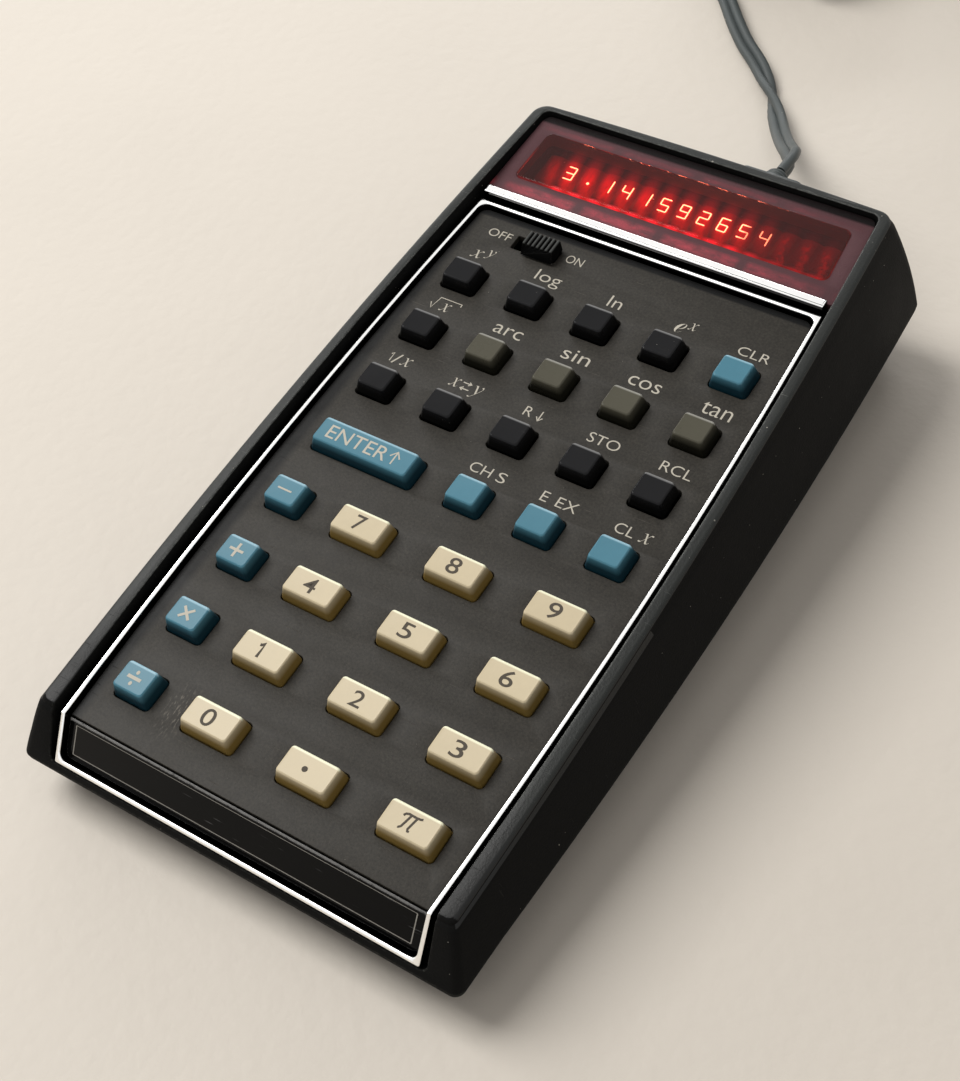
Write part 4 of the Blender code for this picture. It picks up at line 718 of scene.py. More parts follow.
def make_grain_group():
    """Fine moulded grain, as a height."""
    w, (vector, scale, _), height = new_group("moulded_grain", "Height", scale=3.0)
    cells = w.node("ShaderNodeTexVoronoi", {"Vector": vector, "Scale": scale})
    fine = w.noise(vector, w.times(scale, 2.3), 3.0)
    w.feed(height, w.times(w.plus(w.times(cells.outputs[0], 0.7), fine), 0.6))


def make_wear_group():
    """Mask of rubbed edges: where the body is thin just under its surface, broken up by noise."""
    w, (vector, reach, amount, scale, _), mask = new_group(
        "edge_wear", "Mask", reach=0.0004, amount=0.5, scale=1.5
    )
    inside = w.node("ShaderNodeAmbientOcclusion", {"Distance": reach}, samples=6,
                    inside=True, only_local=True)
    edge = w.span(inside.outputs["AO"], 0.95, 0.45)
    broken = w.noise(vector, scale, 4.0, 0.65)
    high = w.minus(1.05, w.times(amount, 0.6))
    rubbed = w.span(w.plus(w.times(edge, 0.6), w.times(broken, 0.6)), w.minus(high, 0.12), high)
    w.feed(mask, w.times(rubbed, w.span(edge, 0.05, 0.3)))


def make_scratch_group():
    """Mask of fine scratches in three directions."""
    w, (vector, scale, amount, _), mask = new_group(
        "fine_scratches", "Mask", scale=1.0, amount=0.5
    )
    found = []
    for turn, stretch in ((0.5, (0.12, 3.4, 0.4)), (-0.9, (0.16, 4.2, 0.4)), (1.35, (0.1, 2.6, 0.4))):
        line = w.noise(w.stretched(vector, stretch, turn), scale, 1.5)
        found.append(w.span(line, w.minus(0.76, w.times(amount, 0.05)), 0.79))
    marks = reduce(lambda a, b: w.maths("MAXIMUM", a, b), found)
    patches = w.span(w.noise(vector, w.times(scale, 0.12)), 0.42, 0.62)
    w.feed(mask, w.times(marks, patches))


def make_dust_group():
    """Mask of small specks of dust, more in some places than in others."""
    w, (vector, scale, amount, _), mask = new_group("dust_specks", "Mask", scale=1.0, amount=0.5)
    cells = w.node("ShaderNodeTexVoronoi", {"Vector": vector, "Scale": scale})
    tint = w.node("ShaderNodeSeparateColor", {0: cells.outputs["Color"]}).outputs[0]
    reach = w.times(w.maths("POWER", tint, 6.0), w.times(amount, 0.34))
    speck = w.span(w.minus(reach, cells.outputs[0]), 0.0, 0.03)
    w.feed(mask, w.times(speck, w.span(w.noise(vector, w.times(scale, 0.15)), 0.35, 0.6)))


def make_drift_group():
    """Slow change of tone over a surface, round 1."""
    w, (vector, scale, amount, _), tone = new_group("tone_drift", "Tone", scale=0.1, amount=0.2)
    slow = w.minus(w.noise(vector, scale, 4.0, 0.6), 0.5)
    w.feed(tone, w.plus(w.times(slow, 2.0, amount), 1.0))


def millimetres(w, in_plane=True):
    """Place on the object in millimetres, in the keyboard plane or along the world's axes."""
    place = w.node("ShaderNodeTexCoord").outputs["Object"]
    turn = KEY_TILT if in_plane else 0.0
    origin = (0, PLANE_Y, PLANE_Z) if in_plane else (0, 0, 0)
    return w.node(
        "ShaderNodeMapping",
        {"Vector": place, "Location": origin, "Rotation": (turn, 0, 0), "Scale": (MM, MM, MM)},
        vector_type="TEXTURE",
    ).outputs[0]


def new_material(name):
    material = bpy.data.materials.new(name)
    material.use_nodes = True
    tree = material.node_tree
    return material, Wiring(tree), tree.nodes["Principled BSDF"]


def surface(
    name, tint, roughness, metallic=0.0, grain=(3.0, 0.004), worn=None, reach=0.4, wearing=1.0,
    dusty=1.0, scratched=1.0, drift=0.18, specular=0.5, in_plane=True,
):
    """Material with grain, slow change of tone, rubbed edges, scratches and dust.

    Grain is its scale per millimetre and its height in millimetres, and reach is how far the
    rubbing runs in from an edge, in millimetres.
    """
    material, w, shader = new_material(name)
    place = millimetres(w, in_plane)
    tone = w.times(w.group("tone_drift", vector=place, scale=0.09, amount=drift),
                   w.group("tone_drift", vector=place, scale=1.1, amount=drift * 0.5))
    rubbed = w.group("edge_wear", vector=place, reach=reach * MM, scale=1.3,
                     amount=wear().edges * wearing)
    marks = w.group("fine_scratches", vector=place, scale=1.0,
                    amount=wear().scratches * scratched)
    specks = w.group("dust_specks", vector=place, scale=0.9, amount=wear().dust * dusty)
    worn = worn or tuple(min(1.0, 0.05 + 1.6 * c) for c in tint)
    body = w.blend(w.times(rubbed, 0.8), w.scaled(tuple(tint), tone), worn)
    body = w.blend(w.times(marks, 0.35), body, worn)
    w.feed(shader.inputs["Base Color"], w.blend(w.times(specks, 0.75), body, (0.55, 0.52, 0.46)))
    rough = w.plus(w.times(w.minus(tone, 1.0), 0.5), roughness, w.times(specks, 0.3))
    w.feed(shader.inputs["Roughness"], w.maths("ADD", rough, w.times(marks, 0.12), True))
    shader.inputs["Metallic"].default_value = metallic
    shader.inputs["Specular IOR Level"].default_value = specular
    height = w.group("moulded_grain", vector=place, scale=grain[0])
    height = w.plus(w.minus(height, w.times(marks, 1.5)), w.times(specks, 2.0))
    dent(w, shader, height, grain[1])
    return material, w, shader


def dent(w, shader, height, depth):
    """Bump from a map of heights, its depth in millimetres."""
    bump = w.node("ShaderNodeBump", {"Height": height, "Distance": depth * MM})
    w.feed(shader.inputs["Normal"], bump.outputs[0])


def material_of(name, *args, **settings):
    """The named surface, made once."""
    if name in bpy.data.materials:
        return bpy.data.materials[name]
    return surface(name, *args, **settings)[0]


def colour_of(shader):
    return shader.inputs["Base Color"].links[0].from_socket


def axes_of(w, place):
    """The three parts of a place: across, along and above the keyboard plane."""
    return w.node("ShaderNodeSeparateXYZ", {0: place}).outputs


def within_pitch(w, value, pitch):
    """Place within one pitch of a row, from -0.5 to 0.5."""
    return w.minus(w.maths("FRACT", w.maths("DIVIDE", value, pitch)), 0.5)


def near(w, place, centre, reach):
    """Soft mask round a place in the keyboard plane: 1 at its middle and 0 at its reach."""
    offset = w.vectors("SUBTRACT", place, (*centre, 0))
    spread = w.vectors("MULTIPLY", offset, (1 / reach[0], 1 / reach[1], 0))
    return w.span(w.vectors("LENGTH", spread, output="Value"), 1.0, 0.2)


# Stage


class MakeStage(bpy.types.Operator):
    """Make the camera, the floor, the light and the shared effects of the materials"""

    bl_idname = "calculator.make_stage"
    bl_label = "Stage"

    def execute(self, context):
        kept = set(frame["nodes"].values()) | set(frame["bodies"].values())
        for obj in list(bpy.data.objects):
            if obj not in kept:
                bpy.data.objects.remove(obj, do_unlink=True)
        for make in (make_grain_group, make_wear_group, make_scratch_group, make_dust_group,
                     make_drift_group):
            make()
        make_camera(context.scene)
        make_floor()
        make_world(context.scene)
        make_lamp("window_light", (-0.84, -0.02, 1.14), (0.8, 0.85), 16.0, (1.0, 0.985, 0.96))
        make_lamp("edge_light", (-0.88, 1.12, 0.46), (1.4, 0.2), 5.5, (1.0, 1.0, 1.0))
        context.scene.view_settings.view_transform = "Standard"
        return {"FINISHED"}


def make_camera(scene):
    data = bpy.data.cameras.new("camera")
    data.lens = 61.374582
    data.sensor_width = 36.0
    data.clip_start = 0.01
    scene.camera = linked("camera", data)
    scene.camera.location = (0.12133837, -0.1530697, 0.23238915)
    scene.camera.rotation_euler = [radians(a) for a in (40.1285467, 5.5737997, 33.2841961)]


def make_floor():
    half = sizes().floor_width / 2
    mesh = bpy.data.meshes.new("floor")
    mesh.from_pydata([(x, y, 0) for x, y in rectangle(-half, half, -half, half)], [],
                     [(0, 1, 2, 3)])
    material, w, shader = new_material("pale_floor")
    place = millimetres(w, False)
    tone = w.group("tone_drift", vector=place, scale=0.02, amount=0.035)
    w.feed(shader.inputs["Base Color"], w.scaled(tuple(colours().floor), tone))
    shader.inputs["Roughness"].default_value = 0.55
    shader.inputs["Specular IOR Level"].default_value = 0.3
    dent(w, shader, w.noise(place, 0.35, 3.0), 0.12)
    mesh.materials.append(material)
    floor = linked("floor", mesh)


def make_world(scene):
    """Soft even light, with a white background for the camera, for metal and for glass."""
    world = bpy.data.worlds.new("studio")
    world.use_nodes = True
    scene.world = world
    w = Wiring(world.node_tree)
    path = w.node("ShaderNodeLightPath").outputs
    seen = w.maths("MAXIMUM", path["Is Camera Ray"], path["Is Glossy Ray"])
    seen = w.maths("MAXIMUM", seen, path["Is Transmission Ray"])
    soft = world.node_tree.nodes["Background"]
    soft.inputs["Color"].default_value = (1.0, 0.97, 0.94, 1)
    soft.inputs["Strength"].default_value = 0.35
    white = w.node("ShaderNodeBackground", {"Color": (1, 1, 1, 1), "Strength": 1.0})
    both = w.node("ShaderNodeMixShader", {0: seen, 1: soft.outputs[0], 2: white.outputs[0]})
    w.feed(world.node_tree.nodes["World Output"].inputs["Surface"], both.outputs[0])


def make_lamp(name, place, spread, power, tint):
    """Rectangular lamp that shines on the middle of the calculator."""
    data = bpy.data.lights.new(name, "AREA")
    data.shape = "RECTANGLE"
    data.energy = power
    data.size, data.size_y = spread
    data.color = tint
    lamp = linked(name, data)
    lamp.location = place
    lamp.rotation_euler = (Vector((0, 0.02, 0)) - Vector(place)).to_track_quat("-Z", "Y").to_euler()


# Case


def rim_height(y):
    return HEIGHT_FRONT + (y - RIM_FRONT_Y) * RIM_SLOPE


def parting_height(y):
    return mix(PARTING_HEIGHT_FRONT, PARTING_HEIGHT_REAR, y / CASE_LENGTH + 0.5)


def case_ring(down, inset=0.0, drop=0.0):
    """Ring round the upper case, from the rim at 0 down to the parting line at 1."""
    swell = down + SIDE_SWELL * down * (1 - down)
    side = tuple(mix(a, b, swell) for a, b in zip(RIM_SIDE, PARTING_SIDE))
    corners = (
        mix(RIM_CORNERS[0], PARTING_CORNERS[0], down),
        mix(RIM_CORNERS[1], PARTING_CORNERS[1], swell) - inset / 2,
    )
    ring = bowed_outline(
        side, mix(RIM_FRONT_Y, -CASE_LENGTH / 2, down) + inset,
        mix(RIM_REAR_Y, CASE_LENGTH / 2, swell) - inset, corners, REAR_CROWN, inset,
    )
    rim = case_ring(0, inset, drop) if down else [(x, y, rim_height(y) - drop) for x, y in ring]
    return [
        (x, y, mix(top, parting_height(y), down)) for (x, y), (_, _, top) in zip(ring, rim)
    ]


def plane_height(y, z):
    """Height above the floor of the keyboard plane's level z, above a place on the floor."""
    return PLANE_Z + (y - PLANE_Y) * tan(KEY_TILT) + z / cos(KEY_TILT)


def cavity_ring(down, lean, rear_inset, height):
    side = tuple(mix(a, b, down) for a, b in zip(RIM_SIDE, PARTING_SIDE))
    ring = bowed_outline(
        side, -CASE_LENGTH / 2 + lean, CASE_LENGTH / 2 - rear_inset - WALL,
        (PARTING_CORNERS[0], CAVITY_CORNER_RADIUS), REAR_CROWN, WALL,
    )
    return [(x, y, height(y)) for x, y in ring]


def in_plane(y, z):
    """A place in the world, (y, z), as the keyboard plane's own (y, z)."""
    dy, dz = y - PLANE_Y, z - PLANE_Z
    return dy * cos(KEY_TILT) + dz * sin(KEY_TILT), dz * cos(KEY_TILT) - dy * sin(KEY_TILT)


def recess_rear():
    return in_plane(RIM_REAR_Y, HEIGHT_REAR)[0] - RIM_WIDTH_REAR


def recess_side(inset):
    """Side of the recess, or of what lies in it at the given distance from its wall."""
    widest = in_plane(-CASE_LENGTH / 2 + RECESS_WIDEST_FROM_FRONT, PLANE_Z)[0]
    return (RIM_HALF_WIDTH - RIM_WIDTH - inset, widest, RECESS_BOW_RADIUS)


def front_point(below, along):
    """Point (y, z) on the front slope, below the frame's face and along the slope from the fold."""
    return (
        FOLD - along * cos(FRONT_FALL) + below * sin(FRONT_FALL),
        FRAME_TOP - along * sin(FRONT_FALL) - below * cos(FRONT_FALL),
    )


def fold_over_front(mesh, front_rise=0.0):
    """Folds a flat mesh down over the front edge."""
    builder = bmesh.new()
    builder.from_mesh(mesh)
    bmesh.ops.bisect_plane(
        builder, geom=builder.verts[:] + builder.edges[:] + builder.faces[:], dist=0.001 * MM,
        plane_co=(0, FOLD, 0), plane_no=(0, 1, 0),
    )
    for vertex in builder.verts:
        below = FRAME_TOP - vertex.co.z
        below_front = below - front_rise if below > FRAME_TOP else below
        if abs(vertex.co.y - FOLD) < 0.01 * MM:
            vertex.co.y = FOLD + (below_front - below * cos(FRONT_FALL)) / sin(FRONT_FALL)
        elif vertex.co.y < FOLD:
            vertex.co.y, vertex.co.z = front_point(below_front, FOLD - vertex.co.y)
    builder.to_mesh(mesh)
    builder.free()
    return mesh


def upper_case_mesh():
    r = sizes().rim_rounding
    rings = [case_ring(1 - i / 20) for i in range(19)]
    for i in range(6):
        turn = radians(18 * i)
        rings.append(case_ring(0, r * (1 - cos(turn)), r * (1 - sin(turn))))
    shell = loft("case_upper", rings)
    cavity = loft("cavity", [
        cavity_ring(1, CAVITY_LEAN, 0, lambda y: parting_height(y) - WALL),
        cavity_ring(0.8, 1.25 * CAVITY_LEAN, 0.3 * (CASE_LENGTH / 2 - RIM_REAR_Y),
                    lambda y: mix(parting_height(y), plane_height(y, ROOF), 0.5)),
        cavity_ring(0.3, 1.5 * CAVITY_LEAN, 0.6 * (CASE_LENGTH / 2 - RIM_REAR_Y),
                    lambda y: plane_height(y, ROOF)),
    ])
    outline = bowed_outline(
        recess_side(0), FOLD - FRONT_LENGTH - SEAT_GAP, recess_rear(),
        (FRAME_FOOT_RADIUS, RECESS_CORNER_RADIUS),
    )
    recess = flat_solid("recess", [outline], LEDGE, FRAME_TOP + 6 * MM)
    recess = placed(fold_over_front(recess, PLATE_THICKNESS - FRONT_PLATE_THICKNESS))
    keys_half = KEYS_HALF_WIDTH + 2 * SEAT_GAP
    lens_half = LENS_LENGTH / 2 + SEAT_GAP
    openings = [
        rectangle(-keys_half, keys_half, KEYS_FRONT - SEAT_GAP,
                  SWITCH_PLACE[1] + SWITCH_KNOB[1] + SEAT_GAP),
        rectangle(LENS_MIDDLE_X - lens_half, LENS_MIDDLE_X + lens_half, WINDOW_FRONT + MM,
                  DIGIT_Y + LENS_WIDTH / 2 + SEAT_GAP),
    ]
    tools = [cavity, recess]
    tools += [placed(flat_solid("opening", [o], LEDGE - 4 * MM, LEDGE + 4 * MM)) for o in openings]
    x, z = SOCKET
    width, height = SOCKET_SIZE[0] / 2 + SEAT_GAP, SOCKET_SIZE[2] / 2 + SEAT_GAP
    hole = rectangle(x - width, x + width, z - height, z + height)
    tools.append(rear_solid("socket_hole", hole, SOCKET_REAR_Y - 10 * MM, SOCKET_REAR_Y + 10 * MM))
    return cut(shell, tools)


def lower_case_mesh():
    steps = [(1.0, 0.0), (0.97, 0.005), (0.9, 0.03), (0.8, 0.075), (0.72, 0.12), (0.62, 0.19),
             (0.52, 0.28), (0.43, 0.38), (0.34, 0.5), (0.25, 0.62), (0.15, 0.77), (0.06, 0.92),
             (0.02, 1.0)]

    def ring(inset, height):
        outline = bowed_outline(
            PARTING_SIDE, -CASE_LENGTH / 2 + inset, CASE_LENGTH / 2 - inset, PARTING_CORNERS,
            REAR_CROWN, inset,
        )
        return [(x, y, height(y)) for x, y in outline]

    def rise(part):
        return lambda y: mix(FLOOR_CLEARANCE, parting_height(y) - SEAT_GAP, part)

    base = loft("case_lower", [ring(BASE_RUN * inset, rise(part)) for inset, part in steps])
    hollow = loft("hollow", [
        ring(BASE_RUN + WALL * 0.5, lambda y: BASE_TOP),
        ring(BASE_RUN * 0.5 + WALL, rise(0.5)),
        ring(WALL, lambda y: parting_height(y) + WALL),
    ])
    door = rounded_box(
        "door_hole",
        (2 * (DOOR_HALF_WIDTH + SEAT_GAP), DOOR_REAR_Y - HINGE[0] + HINGE_RADIUS + 2 * SEAT_GAP,
         6 * MM),
        (0, (DOOR_REAR_Y + HINGE[0] - HINGE_RADIUS) / 2, FLOOR_CLEARANCE), 0.4 * MM,
    )
    notches = rounded_box(
        "notches", (2 * (DOOR_HALF_WIDTH + 1.5 * MM), LATCH_NECK[1] + 2 * SEAT_GAP, 6 * MM),
        (0, LATCH_Y, FLOOR_CLEARANCE), 0.4 * MM,
    )
    tools = [hollow, door, notches]
    for x, y in FOOT_PLACES.values():
        recess = turned("recess", [(4.8 * MM, FLOOR_CLEARANCE - MM),
                                   (4.8 * MM, FLOOR_CLEARANCE + FOOT_RECESS)])
        tools.append(moved(recess, x, y, 0))
    return cut(base, tools)


class MakeCase(bpy.types.Operator):
    """Make the upper and lower halves of the case"""

    bl_idname = "calculator.make_case"
    bl_label = "Case"

    def execute(self, context):
        walls = case_material()
        upper = upper_case_mesh()
        up = Vector((0, -sin(KEY_TILT), cos(KEY_TILT)))
        for face in upper.polygons:
            level = face.center.z - rim_height(face.center.y)
            on_top = face.normal.dot(up) > 0.35 and level > -1.1 * MM
            at_front = face.center.y < RIM_FRONT_Y + MM and face.normal.y < -0.3
            face.material_index = 1 if on_top and not at_front else 0
        piece("case_upper", soften(upper, sizes().edge_rounding), "case",
              [walls, rim_material()], ["top_case"])
        lower = soften(lower_case_mesh(), sizes().edge_rounding)
        piece("case_lower", lower, "case", [walls], ["bottom_case"])
        return {"FINISHED"}


def case_material():
    return material_of("textured_case", colours().case, 0.6, grain=(2.6, 0.05), reach=0.5,
                       worn=(0.05, 0.05, 0.045), specular=0.05, dusty=0.7, scratched=0.7)


def rim_material():
    """Worn grey upper faces, black lower down, with a painted highlight along the outer rear and left
    edges.
    """
    material, w, shader = surface(
        "worn_rim", colours().rim, 0.42, grain=(2.4, 0.05), worn=(0.36, 0.37, 0.34),
        specular=0.24, wearing=1.1, scratched=1.6,
    )
    normal = w.node("ShaderNodeNewGeometry").outputs["Normal"]
    upward, towards_light = (
        w.vectors("DOT_PRODUCT", normal, tuple(Vector(way).normalized()), "Value")
        for way in ((0, -0.1, 1), (-0.35, 0.75, 0.55))
    )
    place = millimetres(w)
    shown = w.times(w.span(upward, 0.35, 0.75),
                    w.span(axes_of(w, place)[1], -90.0, -76.0, 0.1, 1.0))
    body = w.blend(shown, tuple(colours().case), colour_of(shader))
    # Painted highlight along the outer rear and left edges, where the normals face the light, broken
    # up in patches.
    patches = w.noise(w.stretched(place, (0.25, 1.5, 1.0)), 0.8, 4.0, 0.65)
    rubbed = w.times(w.span(towards_light, 0.86, 0.95, 0.0, 0.8), w.span(patches, 0.4, 0.6, 0.15, 1.0))
    w.feed(shader.inputs["Base Color"], w.blend(rubbed, body, (0.45, 0.46, 0.43)))
    return material


# Plates and frame


def key_places():
    """Every key as (name, x, y, kind, finish)."""
    for row, names in enumerate(KEY_NAMES):
        for i, name in enumerate(names.split()):
            # The wide key takes the first two columns of its row.
            kind, x = "small", column(i + (row == ENTER_ROW))
            if name == "enter":
                kind, x = "enter", column(0.5)
            elif row > ENTER_ROW:
                kind, x = ("number", NUMBER_X[i - 1]) if i else ("sign", column(0))
            finish = "key_black"
            if kind == "number":
                finish = "key_beige"
            elif name in BLUE_KEYS + GREY_KEYS:
                finish = "key_blue" if name in BLUE_KEYS else "key_grey"
            yield name, x, -row * KEY_PITCH, kind, finish


class MakePlates(bpy.types.Operator):
    """Make the key plate, the front plate with its outline, and the bright frame"""

    bl_idname = "calculator.make_plates"
    bl_label = "Plates and frame"

    def execute(self, context):
        meeting = (FRAME_TOP - FRAME_TOP * cos(FRONT_FALL)) / sin(FRONT_FALL)
        outline = bowed_outline(
            recess_side(PLATE_INSET), FOLD + meeting + SEAT_GAP / 2,
            FRAME_REAR - FRAME_WIDTH - SEAT_GAP, (0, FRAME_CORNER_RADIUS),
        )
        holes = [
            rounded_rectangle(KEY_WIDTHS[kind][1] + HOLE_SPARE[0], KEY_HOLE[1] + HOLE_SPARE[1],
                              0.8 * MM, (x + HOLE_SHIFT[0], y + HOLE_SHIFT[1]), 5)
            for _, x, y, kind, _ in key_places()
        ]
        holes.append(rounded_rectangle(
            SWITCH_KNOB[0] + SWITCH_TRAVEL, SWITCH_SLOT_WIDTH, 0.3 * MM,
            (SWITCH_PLACE[0] - SWITCH_TRAVEL / 2, SWITCH_PLACE[1]), 3,
        ))
        plate = flat_solid("plate", [outline, *holes], -PLATE_THICKNESS, 0, 0.12 * MM)
        piece("keyboard_plate", placed(plate), "case", [plate_material()], ["key_plate"])
        gap = FRAME_WIDTH + SEAT_GAP
        outline = bowed_outline(recess_side(PLATE_INSET), FOLD - FRONT_LENGTH + gap, FOLD,
                                (FRAME_FOOT_RADIUS, 0))
        front = flat_solid("front", [outline], 0, FRONT_PLATE_THICKNESS, 0.1 * MM)
        glossy = material_of(
            "polished_front", colours().front_plate, 0.1, grain=(0.9, 0.003), worn=(0.3, 0.3, 0.3),
            wearing=0.6, dusty=0.5, specular=0.1,
        )
        piece("front_panel", placed(onto_front(front, meeting)), "case", [glossy],
              ["front_plate"])
        lines = []
        for inset in (1.3 * MM, 1.48 * MM):
            lines.append(bowed_outline(
                recess_side(PLATE_INSET + inset), FOLD - FRONT_LENGTH + gap + inset * 0.7,
                FOLD - meeting - inset * 0.7, (0.15 * MM, 0.15 * MM),
            ))
        top = FRONT_PLATE_THICKNESS
        line = flat_solid("line", lines, top, top + 0.02 * MM)
        ink = material_of("outline_ink", colours().outline, 0.4, grain=(3.0, 0.002), dusty=0.3)
        piece("front_outline", placed(onto_front(line, meeting)), "case", [ink])
        outer = bowed_outline(recess_side(FRAME_INSET), FOLD - FRONT_LENGTH, FRAME_REAR,
                              (0.4 * MM, 0.4 * MM))
        inner = bowed_outline(
            recess_side(FRAME_INSET + FRAME_WIDTH), FOLD - FRONT_LENGTH + FRAME_WIDTH,
            FRAME_REAR - FRAME_WIDTH, (FRAME_FOOT_RADIUS, FRAME_CORNER_RADIUS),
        )
        bead = flat_solid("bead", [outer, inner], -PLATE_THICKNESS, FRAME_TOP,
                          sizes().bead_rounding, 4)
        bead = fold_over_front(bead, PLATE_THICKNESS - FRONT_PLATE_THICKNESS)
        piece("bright_frame", placed(bead), "case", [chrome_material()], ["key_frame"])
        return {"FINISHED"}


def onto_front(mesh, meeting):
    """Lays a mesh, drawn flat above the front plate's foot, on the front slope."""
    for vertex in mesh.vertices:
        below = FRAME_TOP + FRONT_PLATE_THICKNESS - vertex.co.z
        along = FOLD - vertex.co.y
        if along < 2 * MM:
            shown = meeting - SEAT_GAP / 2
            start = (below * sin(FRONT_FALL) - shown) / cos(FRONT_FALL)
            along = mix(start, 2 * MM, along / (2 * MM))
        vertex.co.y, vertex.co.z = front_point(below, along)
    return mesh


def chrome_material():
    """Bright metal whose upright faces stay dark, as they mirror the black parts beside them."""
    if "bright_chrome" in bpy.data.materials:
        return bpy.data.materials["bright_chrome"]
    material, w, shader = surface(
        "bright_chrome", colours().chrome, 0.12, metallic=1.0, grain=(1.2, 0.004),
        worn=(0.05, 0.05, 0.045), reach=0.2, wearing=0.5, dusty=0.8, drift=0.08,
    )
    along = axes_of(w, millimetres(w))[1]
    normal = w.node("ShaderNodeNewGeometry").outputs["Normal"]
    above, before = (
        w.vectors("DOT_PRODUCT", normal, tuple(PLANE.to_3x3() @ Vector(way)), "Value")
        for way in ((0, 0, 1), (0, -sin(FRONT_FALL), cos(FRONT_FALL)))
    )
    on_top = w.span(along, FOLD / MM - 0.5, FOLD / MM + 0.5)
    shown = w.plus(w.times(above, on_top), w.times(before, w.minus(1.0, on_top)))
    lit = w.span(shown, 0.25, 0.6, 0.03, 1.0)
    w.feed(shader.inputs["Base Color"], w.blend(lit, (0.0, 0.0, 0.0), colour_of(shader)))
    return material


def plate_material():
    """Satin plate with a fine grain, a patch of pale scuffs near its front left, and painted shade
    along its rear and left edges.
    """
    material, w, shader = surface(
        "satin_plate", colours().plate, 0.5, grain=(3.2, 0.03), worn=(0.22, 0.2, 0.17), reach=0.3,
        wearing=0.4, dusty=0.4, scratched=1.2, drift=0.16, specular=0.18,
    )
    place = millimetres(w)
    across, along, _ = axes_of(w, place)
    fleck = w.times(w.span(w.noise(place, 2.2, 3.0, 0.7), 0.3, 0.7, 0.66, 1.34),
                    w.span(w.noise(place, 0.45, 3.0, 0.6), 0.3, 0.7, 0.88, 1.12))
    strokes = w.noise(w.stretched(place, (2.2, 0.5, 1.0), 0.2), 1.6, 4.0)
    scuffs = w.times(near(w, place, (-17.8, -89.5), (3.2, 6.0)), w.span(strokes, 0.55, 0.66), 0.3)
    tinted = w.blend(scuffs, w.scaled(colour_of(shader), fleck), (0.42, 0.38, 0.32))
    # Painted shade along the rear and left edges, where the frame's wall and its shadow fall on the
    # plate.
    unshaded_share = w.times(w.span(along, 14.35, 13.95), w.span(across, -31.3, -30.0, 0.05, 1.0))
    w.feed(shader.inputs["Base Color"], w.blend(unshaded_share, (0.001, 0.001, 0.001), tinted))
    return material


# Keys


def key_mesh(x, y, kind):
    """Moulded key: rounded cap, its neck through the plate and the flange that keeps it in."""
    top_width, hole_width = KEY_WIDTHS[kind]
    s = sizes()
    top = (top_width, s.key_depth)
    neck = (hole_width + HOLE_SPARE[0] - 2 * KEY_HOLE_GAP,
            KEY_HOLE[1] + HOLE_SPARE[1] - 2 * KEY_HOLE_GAP)
    flange = (hole_width + 2 * KEY_FLANGE, KEY_HOLE[1] + 2 * KEY_FLANGE)
    aside = (top_width - KEY_WIDTHS["small"][0]) / 2 if kind == "sign" else 0.0
    low, r = 0.1 * MM, s.key_rounding
    rings = [(flange, FLANGE_BOTTOM, 0.3 * MM, 0), (flange, FLANGE_TOP, 0.3 * MM, 0),
             (neck, FLANGE_TOP, 0.5 * MM, 1), (neck, low, 0.5 * MM, 1)]
    # The side leans in to the rounding, which turns over to the flat top.
    lean = (neck[1] - top[1]) / 2
    slope = atan2(lean, s.key_height - low)
    back = r * tan((pi / 2 - slope) / 2)
    for i in range(8):
        turn = slope + (pi / 2 - slope) * i / 7
        spare = back - r * (cos(slope) - cos(turn)) - back * sin(slope) * (1 - i / 7)
        height = s.key_height - r * (1 - sin(turn))
        part = (height - low) / (s.key_height - low)
        ring = tuple(t + 2 * max(spare, 0.0) for t in top)
        rings.append((ring, height, 0.5 * MM + 0.3 * max(spare, 0.0), 1 - part))
    rings.append(((top[0] - 0.5 * MM, top[1] - 0.5 * MM), s.key_height - 0.01 * MM, 0.4 * MM, 0))
    skins = []
    for (width, depth), height, corner, shift in rings:
        outline = rounded_rectangle(width, depth, corner)
        dx = shift * HOLE_SHIFT[0] - (1 - shift) * aside * (height > low)
        dy = shift * HOLE_SHIFT[1]
        skins.append([(x + a + dx, y + b + dy, height) for a, b in outline])
    return loft("cap", skins)


def lettering(text, box, thickness, weight=0.0):
    """Raised lettering that fills its box of left, right, foot and head, in millimetres."""
    left, right, foot, head = (value * MM for value in box)
    curve = bpy.data.curves.new("lettering", "FONT")
    curve.body = text
    curve.size = 4 * MM
    curve.extrude = thickness / 2
    curve.offset = weight * MM
    curve.resolution_u = 6
    mesh = curve_mesh("lettering", curve)
    low, high = (
        Vector([pick(vertex.co[i] for vertex in mesh.vertices) for i in range(3)])
        for pick in (min, max)
    )
    fit = Matrix.Diagonal(((right - left) / (high.x - low.x), (head - foot) / (high.y - low.y), 1, 1))
    return placed(mesh, Matrix.Translation((left, foot, 0)) @ fit @ Matrix.Translation(-low))


def stroke(points, width, thickness):
    """Line of even width through places in millimetres, with round ends and corners."""
    curve = bpy.data.curves.new("stroke", "CURVE")
    curve.dimensions = "3D"
    curve.bevel_depth = width / 2
    curve.bevel_resolution = 3
    curve.use_fill_caps = True
    add_line(curve, in_mm(points), False)
    mesh = placed(curve_mesh("stroke", curve), Matrix.Diagonal((1, 1, thickness / width, 1)))
    return moved(mesh, 0, 0, thickness / 2)


